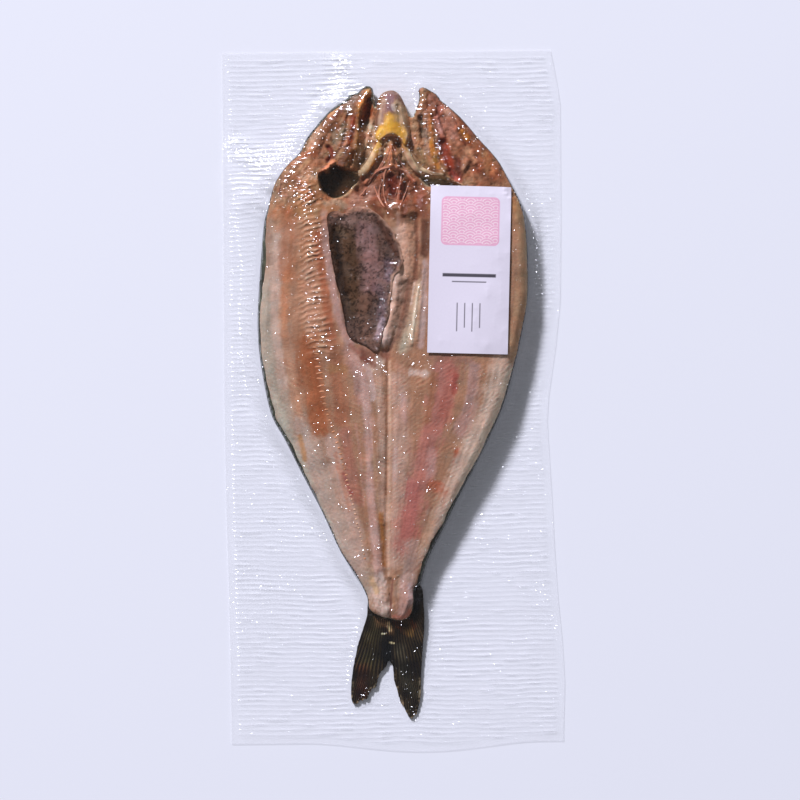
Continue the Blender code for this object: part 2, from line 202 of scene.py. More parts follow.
def distance_to(x, y, line):
    """Distance from each point to a polyline: the least over its straight runs."""
    nearest = np.full(np.shape(x), np.inf)
    for (ax, ay), (bx, by) in zip(line[:-1], line[1:]):
        dx, dy = bx - ax, by - ay
        t = np.clip(((x - ax) * dx + (y - ay) * dy) / (dx * dx + dy * dy), 0, 1)
        nearest = np.minimum(nearest, np.hypot(x - ax - t * dx, y - ay - t * dy))
    return nearest


def depth_inside(x, y, loop):
    """Distance to a closed polyline, positive inside, where a ray to the right crosses an odd number of
    its runs."""
    inside = np.zeros(np.shape(x), bool)
    for (ax, ay), (bx, by) in zip(loop[:-1], loop[1:]):
        if ay != by:
            crosses = (ay > y) != (by > y)
            inside ^= crosses & (x < ax + (y - ay) * (bx - ax) / (by - ay))
    return np.where(inside, 1, -1) * distance_to(x, y, loop)


def ease(t):
    """0 below 0, 1 above 1, and three t squared less two t cubed between."""
    t = np.clip(t, 0, 1)
    return t * t * (3 - 2 * t)


def hump(distance, reach):
    """1 on a line and 0 at reach from it: one less the squared share of the reach, all squared."""
    return np.clip(1 - (distance / reach) ** 2, 0, 1) ** 2


def mottle(x, y, size, seed):
    """Smooth chance values from -1 to 1: a seeded lattice of that spacing, blended between points."""
    lattice = np.random.default_rng(seed).uniform(-1, 1, (256, 256))
    u, v = x / size + 1000, y / size + 1000
    i, j = np.floor(u).astype(int), np.floor(v).astype(int)
    s, t = ease(u - i), ease(v - j)
    low = lattice[j % 256, i % 256] * (1 - s) + lattice[j % 256, (i + 1) % 256] * s
    high = lattice[(j + 1) % 256, i % 256] * (1 - s) + lattice[(j + 1) % 256, (i + 1) % 256] * s
    return low * (1 - t) + high * t


def along_fish(y, stations):
    """A value given at stations from snout to tail, by straight lines between them."""
    ys, values = zip(*sorted(stations))
    return np.interp(y, ys, values)


fish_edge = smooth_line(LEFT_FLANK + TAIL_ROOT + RIGHT_FLANK[::-1] + FACE, 2.0, closed=True)


def lip_width(x, y):
    """How far the flesh stops short of the skin's edge, by its place along either flank."""
    return np.where(x < -2, along_fish(y, LEFT_LIP), along_fish(y, RIGHT_LIP))


def drawn_in(loop, width):
    """A closed line moved inwards, square to itself, by a width at each of its points."""
    along = np.roll(loop, -1, axis=0) - np.roll(loop, 1, axis=0)
    inward = np.column_stack([-along[:, 1], along[:, 0]]) / np.linalg.norm(along, axis=1)[:, None]
    trial = depth_inside(*(loop + 0.4 * inward).T, np.vstack([loop, loop[:1]]))
    return loop + np.sign(np.median(trial)) * inward * width[:, None]


open_edge = fish_edge[:-1]
flesh_edge = drawn_in(open_edge, lip_width(*open_edge.T) * (1 + 0.3 * mottle(*open_edge.T, 5, 41)))
flesh_edge = np.vstack([flesh_edge, flesh_edge[:1]])


def across_body(x, y):
    """Place between the flanks at the same height, from -1 at the left one to 1 at the right one."""
    left = along_fish(y, [(v, u) for u, v in LEFT_FLANK] + [(-118, -12)])
    right = along_fish(y, [(v, u) for u, v in RIGHT_FLANK] + [(-118, 12)])
    return (2 * x - left - right) / (right - left)


def streak(x, y, fine, seed):
    """Chance values drawn out along the body, in lines that close in with the flanks towards the tail."""
    return mottle(across_body(x, y) * 60 / fine, y / (9 * fine), 1, seed)


def crease(x, y, size, seed):
    """1 on the lines where smooth chance values pass through nought, falling to 0 close beside."""
    return hump(mottle(x + 0.5 * y, y, size, seed) + 0.5 * mottle(x, y, size / 2, seed + 1), 0.16)


def creased(x, y):
    """Wrinkles of the torn and dried tissue over the head, the throat and the belly's right wall."""
    share = np.maximum(ease((y - 98) / 10), 0.7 * hump(distance_to(x, y, TORN_WALL), 12.0))
    return share * np.maximum(crease(x, y, 3.6, 45), 0.7 * crease(x, y, 2.0, 47))


def rib_bank_share(x, y):
    """1 along the middle of the rib bank, falling to 0 at its sides."""
    return hump(distance_to(x, y, smooth_line(RIB_BANK, 3)), RIB_BANK_REACH)


def rib_ripple(x, y):
    """Ripples over the rib bank: a wave up the fish, slanted more towards the head, stepped between two
    columns and bent by chance, under a hump across the bank that is broken by chance too."""
    slant = np.interp(y, [30, 75, 115], [0.10, 0.28, 0.50])
    phase = y - slant * (x + 42) + 1.2 * ease((-45.5 - x) / 1.5)
    phase = phase + 0.9 * mottle(x, y, 8, 11) + 0.35 * mottle(x, y, 2.5, 12)
    wave = 0.5 + 0.5 * np.cos(2 * np.pi * phase / RIB_PITCH)
    broken = np.clip(0.55 + 0.45 * mottle(x, y, 4, 13) + 0.35 * mottle(x, y, 1.8, 14), 0, 1)
    return wave**3 * rib_bank_share(x, y) * broken


def fibre_grain(x, y):
    """Muscle fibres on both lower fillets: a fine wave slanting away from the seam on either side."""
    slant = np.where(x > -4, 0.75, -0.55)
    phase = y - slant * (x + 4) + 1.2 * mottle(x, y, 6, 21) + 0.5 * mottle(x, y, 2, 23)
    fine = np.sin(2 * np.pi * phase / FIBRE_PITCH) * np.clip(0.3 + 0.8 * mottle(x, y, 3, 22), 0, 1)
    return fine * ease((FIBRES_END - y) / 12)


def flesh_height(x, y):
    """Height of the flesh: flanks rise from edge to crown, three fifths of it in a quarter sine near the
    edge and the rest in one five times as wide; hollows sink to their floors, ridges and furrows add
    humps along their lines, and ripples, fibres and chance add the fine relief."""
    depth = depth_inside(x, y, fish_edge)
    crown, edge = along_fish(y, CROWN), along_fish(y, FLANK_EDGE)
    inward = depth / along_fish(y, FLANK_ROUND)
    near, far = (np.sin(np.pi / 2 * np.clip(share, 0, 1)) for share in (inward, inward / 5))
    top = edge + (crown - edge) * (0.6 * near + 0.4 * far)
    top = top - SEAM_DEPTH * hump(distance_to(x, y, smooth_line(SEAM, 3)), SEAM_REACH)
    hollows = [(BELLY, BELLY_FLOOR, BELLY_SLOPE), (MOUTH, MOUTH_FLOOR, MOUTH_SLOPE)]
    hollows += [(slit, GILL_FLOOR, GILL_SLOPE) for slit in GILL_SLITS]
    rough = 0.9 * mottle(x, y, 4, 31)
    for border, floor, slope in hollows:
        share = ease((depth_inside(x, y, smooth_line(border, 2, closed=True)) + rough) / slope)
        top = top + (np.minimum(floor, top) - top) * share
    for line, height, reach in [*SOFT_RIDGES.values(), *FINE_RELIEF.values()]:
        wander = 0.25 * reach * mottle(x, y, 3, 32)
        top = top + height * hump(distance_to(x, y, smooth_line(line, 2)) + wander, reach)
    top = top + RIPPLE_HEIGHT * rib_ripple(x, y) + FIBRE_HEIGHT * fibre_grain(x, y)
    top = top + 0.10 * streak(x, y, 1.5, 36) - WRINKLE_DEPTH * creased(x, y)
    head = ease((y - 95) / 15)
    top = top + 0.30 * mottle(x, y, 7, 33) + (0.06 + 0.24 * head) * mottle(x, y, 2.4, 34)
    top = top - FLESH_SHRINKAGE + (0.03 + 0.13 * head) * mottle(x, y, 1.2, 35)
    return np.maximum(top, FLESH_FLOOR + 0.3)


def grid_squares(number):
    """The four corners of each square in a grid of numbered points, one after another round it."""
    return np.stack([number[:-1, :-1], number[:-1, 1:], number[1:, 1:], number[1:, :-1]], axis=-1)


def grid_within(loop, step):
    """The squares of a grid inside an outline, as points and faces: the points on the grid's own rim are
    moved onto the outline, down the slope of their distance to it."""
    low, high = loop.min(axis=0) - 2 * step, loop.max(axis=0) + 3 * step
    x, y = np.meshgrid(np.arange(low[0], high[0], step), np.arange(low[1], high[1], step))
    depth = depth_inside(x, y, loop)
    cell = (depth[:-1, :-1] + depth[1:, :-1] + depth[:-1, 1:] + depth[1:, 1:]) > 0
    for _ in range(3):  # where two squares touch at a corner only, one beside them is taken in
        rising = cell[:-1, :-1] & cell[1:, 1:] & ~cell[:-1, 1:] & ~cell[1:, :-1]
        falling = ~cell[:-1, :-1] & ~cell[1:, 1:] & cell[:-1, 1:] & cell[1:, :-1]
        cell[:-1, 1:] |= rising
        cell[:-1, :-1] |= falling
    corners = np.zeros(x.shape, int)
    for down, right in ((0, 0), (0, 1), (1, 0), (1, 1)):
        corners[down : down + cell.shape[0], right : right + cell.shape[1]] += cell
    slope_y, slope_x = np.gradient(depth, step)
    length = np.maximum(np.hypot(slope_x, slope_y), 0.5)
    rim = (corners > 0) & (corners < 4)
    x = x - rim * depth * slope_x / length**2
    y = y - rim * depth * slope_y / length**2
    used = corners > 0
    number = np.cumsum(used.ravel()).reshape(x.shape) - 1
    return x[used], y[used], grid_squares(number)[cell]


def linked_piece(name, points, faces, sharp=180):
    """A piece from points in millimetres and faces, smooth but for edges sharper than an angle."""
    data = bpy.data.meshes.new(name)
    data.from_pydata((points * MM).tolist(), [], faces)
    data.shade_smooth()
    data.set_sharp_from_angle(angle=math.radians(sharp))
    piece = bpy.data.objects.new(name, data)
    bpy.context.scene.collection.objects.link(piece)
    return piece


def cut_sheet(name, loop, step, height, floor, sharp=70):
    """A closed piece inside an outline: a height above, walls from its rim down to a floor, and one flat
    face below, smooth but for edges sharper than an angle."""
    x, y, quads = grid_within(loop, step)
    piece = linked_piece(name, np.column_stack([x, y, height(x, y)]), quads.tolist())
    mesh = bmesh.new()
    mesh.from_mesh(piece.data)
    made = bmesh.ops.extrude_edge_only(mesh, edges=[e for e in mesh.edges if e.is_boundary])["geom"]
    for vertex in (g for g in made if isinstance(g, bmesh.types.BMVert)):
        vertex.co.z = floor * MM
    bmesh.ops.holes_fill(mesh, edges=[e for e in mesh.edges if e.is_boundary], sides=0)
    bmesh.ops.recalc_face_normals(mesh, faces=mesh.faces)
    mesh.to_mesh(piece.data)
    mesh.free()
    piece.data.shade_smooth()
    piece.data.set_sharp_from_angle(angle=math.radians(sharp))
    return piece


def albedo(red, green, blue):
    """A paint value for a colour as it looks under the cool lamp: its share of light, with the lamp's
    own tint taken out."""
    return (np.array([red, green, blue]) / 255) ** 2.2 * (1.05, 1.03, 0.84)


def laid_over(colours, colour, share):
    """Colours at points, each moved towards one colour by its own share."""
    return colours + (colour - colours) * share[:, None]


def coordinates(piece):
    """Every point of a piece in millimetres, as three rows."""
    values = np.empty(len(piece.data.vertices) * 3, np.float32)
    piece.data.vertices.foreach_get("co", values)
    return values.reshape(-1, 3).T.astype(float) / MM


def colour_points(piece, colours, name="tint"):
    """Stores one colour for each point, as an attribute that the material reads."""
    layer = piece.data.color_attributes.new(name, "FLOAT_COLOR", "POINT")
    rgba = np.column_stack([colours, np.ones(len(colours))])
    layer.data.foreach_set("color", rgba.astype(np.float32).ravel())


def brushed(x, y, base, strokes, seed):
    """Colours at points: a base, then each stroke laid over it in turn, full within a quarter of its
    reach and gone just past it, with an edge that wanders by chance and in streaks."""
    colours = np.tile(albedo(*base), (len(x), 1))
    for number, (line, reach, colour, strength) in enumerate(strokes):
        wander = 0.7 * mottle(x, y, 0.9 + 0.5 * reach, seed + number)
        wander += 0.5 * mottle(x, y, 1.3, seed + 300 + number)
        wander += 0.8 * streak(x, y, 1.3, seed + 600 + number)
        distance = distance_to(x, y, smooth_line(line, 2)) + 0.25 * reach * wander
        share = strength * ease((1.05 * reach - distance) / (0.8 * reach))
        colours = laid_over(colours, albedo(*colour), share)
    return colours


FLESH_BASE = (160, 118, 96)
# each stroke is its line's points, its reach, its colour and its strength
BODY_STROKES = [
    # left flank, from its edge inwards
    ([(-57.2, 111.3), (-61.1, 90.3), (-64.6, 58.8), (-63.9, 27.2), (-58.9, 0.9), (-49.7, -25.5),
      (-38.4, -51.9), (-26.5, -75.7), (-15.7, -99.5)], 12, (176, 150, 136), 0.95),
    ([(-65.6, 61.4), (-65.9, 32.5), (-63, 8.8), (-57.9, -9.6)], 5, (164, 150, 138), 0.85),
    ([(-60.4, 111.4), (-64.2, 95.6), (-66.5, 73.6)], 3.6, (126, 92, 78), 0.55),
    ([(-60, 92.4), (-61.2, 80.9)], 1.8, (184, 156, 146), 0.8),
    ([(-60.7, 79.8), (-62, 58.8), (-61.2, 32.5), (-57.8, 8.8)], 3.6, (192, 160, 148), 0.75),
    ([(-52.4, 113.4), (-57.3, 103.4), (-59.5, 94.5)], 7, (174, 126, 102), 0.85),
    ([(-53.1, 99.7), (-54.3, 85), (-55, 66.6)], 6.2, (166, 100, 68), 0.6),
    ([(-55, 66.6), (-57.3, 53.5), (-57.5, 35.1)], 3.2, (186, 124, 92), 0.75),
    ([(-56.4, 35), (-53.5, 11.3), (-49.6, -12.4)], 4.2, (176, 128, 104), 0.8),
    ([(-62, 0.9), (-54.9, -20.2), (-45.2, -44), (-34.3, -65.1), (-24, -83.7)], 3.6, (178, 168, 156), 0.8),
    ([(-49.6, -12.4), (-40.4, -38.8), (-30.1, -65.2), (-19.9, -91.6)], 6, (180, 154, 144), 0.85),
    ([(-49.6, -18.2), (-47.1, -30.8)], 2, (176, 124, 80), 0.75),
    ([(-41.2, -20.3), (-36.2, -41.4), (-30.1, -60.4)], 4.5, (178, 150, 138), 0.75),
    # rib bank and what borders the belly
    ([(-44, 113.8), (-41.6, 95.4), (-41.8, 74.4), (-41.5, 53.3), (-39.6, 34.9)],
      10.5, (166, 114, 86), 0.9),
    ([(-44, 69.1), (-43.1, 53.3), (-41.7, 37.5)], 6, (178, 130, 108), 0.75),
    ([(-48.3, 108.1), (-50, 98.1)], 3, (158, 110, 78), 0.6),
    ([(-38.5, 87.5), (-37.6, 73.3), (-35.7, 58.5), (-33.7, 43.8), (-32.2, 33.2)],
      3.4, (160, 92, 66), 0.8),
    ([(-35.5, 98), (-34.6, 82.2), (-32.7, 67.9), (-29.9, 53.2), (-27.4, 40), (-22.8, 30.5)],
      3.2, (176, 138, 132), 0.85),
    # red muscle along the backbone's bed
    ([(-46, 29.7), (-43.5, 15.4), (-40.5, 0.7), (-37.5, -14.1)], 8, (152, 90, 60), 0.92),
    ([(-42.3, 27), (-40.4, 11.2), (-38.4, -5.6)], 3.4, (152, 86, 56), 0.7),
    ([(-31.8, 29.5), (-29.3, 8.5), (-27.4, -10)], 5.5, (152, 94, 70), 0.75),
    ([(-32.9, 17.4), (-25.6, 16.8)], 3.4, (156, 110, 76), 0.65),
    ([(-33.9, -20.4), (-28.8, -41.5), (-22.7, -62.6), (-17.7, -83.7)], 5, (188, 156, 146), 0.8),
    ([(-26.4, -16.3), (-23.5, -33.7), (-20, -52.1)], 4.4, (160, 106, 92), 0.85),
    ([(-27.2, -38.4), (-25.2, -43.7), (-23.1, -48.9)], 1.6, (140, 62, 60), 0.75),
    ([(-30.8, -28.3), (-27.8, -41.5), (-23.7, -57.4)], 1.8, (180, 120, 98), 0.6),
    ([(-20.1, -12.7), (-17.7, -32.2), (-16.3, -54.8)], 1, (172, 128, 118), 0.5),
    # pale strips either side of the seam
    ([(-22.9, 25.8), (-18.8, 13.6), (-16.8, 0.4)], 4.6, (168, 126, 118), 0.8),
    ([(-20.3, 22.6), (-15.7, 8.3), (-13.8, -15.4), (-13, -41.7), (-11.2, -68), (-8.8, -91.7)],
      3.4, (190, 150, 142), 0.88),
    ([(-8.2, 18.8), (-6.9, -10.2), (-6.2, -41.8), (-5.9, -62.8)], 3.2, (196, 158, 142), 0.88),
    ([(-10.8, -28.6), (-9.9, -47), (-8.5, -62.8)], 1.1, (158, 122, 98), 0.6),
    ([(-7.4, -59.6), (-6.5, -73.3), (-5.6, -87)], 1.8, (154, 98, 52), 0.85),
    ([(2.2, 10.8), (3, -15.5), (2.7, -41.8), (1.5, -62.9), (-0.3, -83.9)], 7, (178, 140, 126), 0.92),
    ([(4.3, 2.9), (5.2, -10.3)], 2.2, (186, 150, 146), 0.6),
    ([(0.8, -26), (0.1, -41.8)], 2.0, (174, 146, 142), 0.55),
    ([(9.6, 14.9), (15.9, 13.8)], 2.8, (208, 184, 178), 0.7),
    ([(1.3, 18.1), (6, 15.5)], 3, (192, 142, 124), 0.5),
    # right fillet's red band
    ([(27.6, 16.8), (24.8, 2.6), (20.9, -13.1), (16.6, -28.8), (12.2, -44.6), (8.3, -60.3),
      (4.5, -76.1)], 9, (172, 110, 101), 0.9),
    ([(21.2, 13.7), (19.5, 0.1), (17.3, -10.4)], 2.8, (154, 102, 76), 0.75),
    ([(19.7, -27.3), (18, -41)], 3.6, (184, 138, 132), 0.75),
    ([(30.7, 13.6), (29, 2.6), (26.2, -8.4)], 4.6, (164, 98, 88), 0.85),
    ([(32.2, 12.6), (31.6, 4.1)], 2.4, (152, 72, 64), 0.75),
    ([(9, -45.1), (9.4, -56.6), (6.1, -69.2)], 5.4, (170, 102, 96), 0.85),
    ([(19.6, -44.1), (25.8, -47.4), (26.8, -55.3), (21.5, -63.1)], 4.2, (170, 92, 70), 0.75),
    ([(32.9, -27.4), (32.8, -35.9)], 2.8, (166, 74, 40), 0.75),
    # a painted shadow under the label's lower edge
    ([(20.3, 22.7), (40.2, 20.9)], 3, (146, 102, 90), 0.7),
    # right flank
    ([(58.6, 19.6), (51.5, -2.9), (41.9, -23.8), (32.7, -45.8), (24, -66.8), (18.1, -84.1)],
      9, (200, 170, 156), 0.92),
    ([(61.2, 16.5), (54.1, -5.6), (45, -24.9), (35.3, -45.9), (26.7, -64.2)], 3.2, (222, 202, 186), 0.85),
    ([(42.3, 16.7), (40, -2.8), (34.6, -16.9)], 5, (170, 132, 128), 0.75),
    ([(20.4, -61), (16.6, -76.2)], 3, (188, 148, 126), 0.6),
    ([(8.7, -77.7), (6.4, -91.9), (4.8, -100.8)], 6, (170, 138, 130), 0.85),
    ([(67.9, 104.8), (70.8, 78.4), (70, 46.9), (65, 24.8)], 8, (176, 138, 110), 0.92),
    ([(69.4, 96.9), (71.8, 72.1), (70.5, 44.2)], 1.8, (158, 138, 104), 0.6),
    # seam
    ([(-3.4, 23.4), (-3.7, 0.3), (-4.2, -26), (-4.7, -49.7)], 0.75, (122, 84, 64), 0.8),
    ([(-4.7, -49.7), (-5.2, -73.3), (-5.1, -91.7)], 0.7, (132, 96, 72), 0.5),
    ([(-1.9, 20.3), (-2.2, -10.2), (-2.8, -41.8), (-3.4, -73.3), (-3.8, -92.3)],
      1.1, (198, 162, 142), 0.6),
    # lobes at the tail's root
    ([(-9.4, -95.4), (-8.4, -104.9), (-5.9, -111.2)], 5.2, (206, 176, 166), 0.92),
    ([(-13.1, -93.2), (-10, -100.6)], 2, (190, 154, 114), 0.7),
    # painted glints on the left lobe
    ([(-7.8, -91.2), (-6.2, -96.5)], 1.8, (232, 208, 202), 0.7),
    ([(4.3, -97.6), (5.2, -106.1), (2.5, -111.8)], 4.8, (176, 138, 130), 0.92),
    ([(1.7, -92.9), (0.5, -103.9)], 1.6, (166, 128, 108), 0.6),
    ([(7.4, -97.1), (7.9, -106.6)], 2.2, (198, 168, 170), 0.75),
    ([(-1.2, -113.9), (3.6, -115), (7.3, -111.3)], 1.8, (208, 130, 112), 0.85),
    ([(-1.5, -94.4), (-2.7, -104.9), (-3.3, -114.4)], 0.9, (110, 70, 62), 0.8),
]  # fmt: skip
CAVITY_STROKES = [
    ([(4.2, 93.9), (6.2, 84.4), (6, 72.8)], 4, (146, 110, 102), 0.8),
    ([(8.4, 93.8), (8.8, 80.1), (7.6, 66.5)], 5.6, (182, 136, 114), 0.8),
    ([(6.8, 93.3), (6.2, 88.6)], 1.4, (192, 150, 136), 0.7),
    ([(2.3, 69.7), (1.7, 55.5), (-1.1, 43.4), (-4.4, 30.8)], 4.0, (204, 172, 164), 0.95),
    ([(6.5, 63.3), (4.8, 50.2), (1.5, 37.1), (-1.8, 27.6)], 1.6, (146, 108, 94), 0.8),
    ([(9.1, 63.3), (6.8, 47.5), (3.5, 34.4)], 2.6, (122, 90, 78), 0.7),
    ([(14.3, 60.6), (11, 44.9), (6.6, 29.1)], 4.2, (180, 152, 132), 0.85),
    ([(8.8, 37), (4.5, 26.5)], 3.2, (190, 172, 152), 0.7),
    ([(13.8, 60.6), (11.6, 47.5), (9.8, 30.1)], 0.9, (228, 206, 186), 0.85),
    ([(11.7, 63.3), (9.5, 50.1)], 0.7, (200, 172, 160), 0.8),
    ([(17.3, 93.7), (16.6, 76.9)], 3.2, (88, 52, 40), 0.85),
    ([(12.6, 95.9), (13, 79), (11.7, 63.3)], 1.6, (134, 84, 66), 0.75),
    ([(17.1, 72.7), (16.4, 52.7), (14.5, 29)], 2.4, (182, 154, 152), 0.75),
    ([(-16.5, 26.7), (-10.3, 22.5), (-4.5, 24)], 4.2, (142, 94, 80), 0.85),
    ([(-17.1, 24.6), (-14.5, 19.9)], 2.2, (118, 54, 46), 0.8),
    ([(-21.8, 28.4), (-17.6, 24.6)], 2, (152, 116, 102), 0.7),
    ([(-11.4, 17.2), (-7.1, 20.9)], 3, (212, 182, 168), 0.75),
]  # fmt: skip
THROAT_STROKES = [
    ([(-15.7, 108.3), (-0.9, 111.8), (12.2, 106.4)], 13, (132, 84, 70), 0.95),
    ([(-22.1, 102), (-15.7, 106.7), (-10.4, 110.8)], 5, (184, 138, 132), 0.75),
    ([(-24.7, 104.2), (-21, 105.7)], 2.2, (190, 150, 140), 0.5),
    ([(-21, 103.1), (-13.6, 104)], 2, (156, 112, 102), 0.7),
    ([(-34.7, 103.7), (-29.4, 104.7), (-24.2, 102.6)], 2.2, (170, 144, 134), 0.8),
    ([(-0.2, 132.8), (0.3, 122.3)], 3.2, (206, 136, 110), 0.8),
    # the next three lie in the throat's hollows: dark red tissue with painted shade
    ([(0.2, 117), (1.2, 109.7)], 4, (104, 46, 32), 0.92),
    ([(-3.6, 103.9), (0, 97.1)], 3, (98, 50, 36), 0.75),
    ([(6.9, 106.5), (6.3, 98)], 2.8, (104, 56, 40), 0.75),
    ([(4.4, 112.8), (3.8, 105.4)], 2.2, (162, 100, 82), 0.8),
    ([(9.7, 115.9), (12.7, 107.4), (13.7, 99)], 3.4, (134, 80, 60), 0.8),
    ([(15.4, 111.6), (16.8, 97.4)], 3.6, (128, 80, 66), 0.8),
    ([(14.8, 107.4), (14.8, 102.2)], 2, (150, 102, 102), 0.7),
    ([(-13.5, 115.1), (-8.2, 120.8), (0.3, 122.8), (7.1, 120.1), (11.8, 115.3)],
      1.4, (206, 136, 118), 0.8),
    ([(-10.5, 97.7), (-4.8, 91.8), (-0.1, 84.4)], 2.6, (112, 68, 58), 0.7),
    ([(-9.4, 103.5), (-5.8, 97.1)], 3.4, (92, 50, 36), 0.8),
    ([(-0.5, 103.9), (2.6, 99.1)], 2.2, (122, 78, 66), 0.6),
    ([(3.2, 98.1), (3.6, 90.7), (4.6, 84.4)], 1.6, (168, 130, 122), 0.85),
]  # fmt: skip
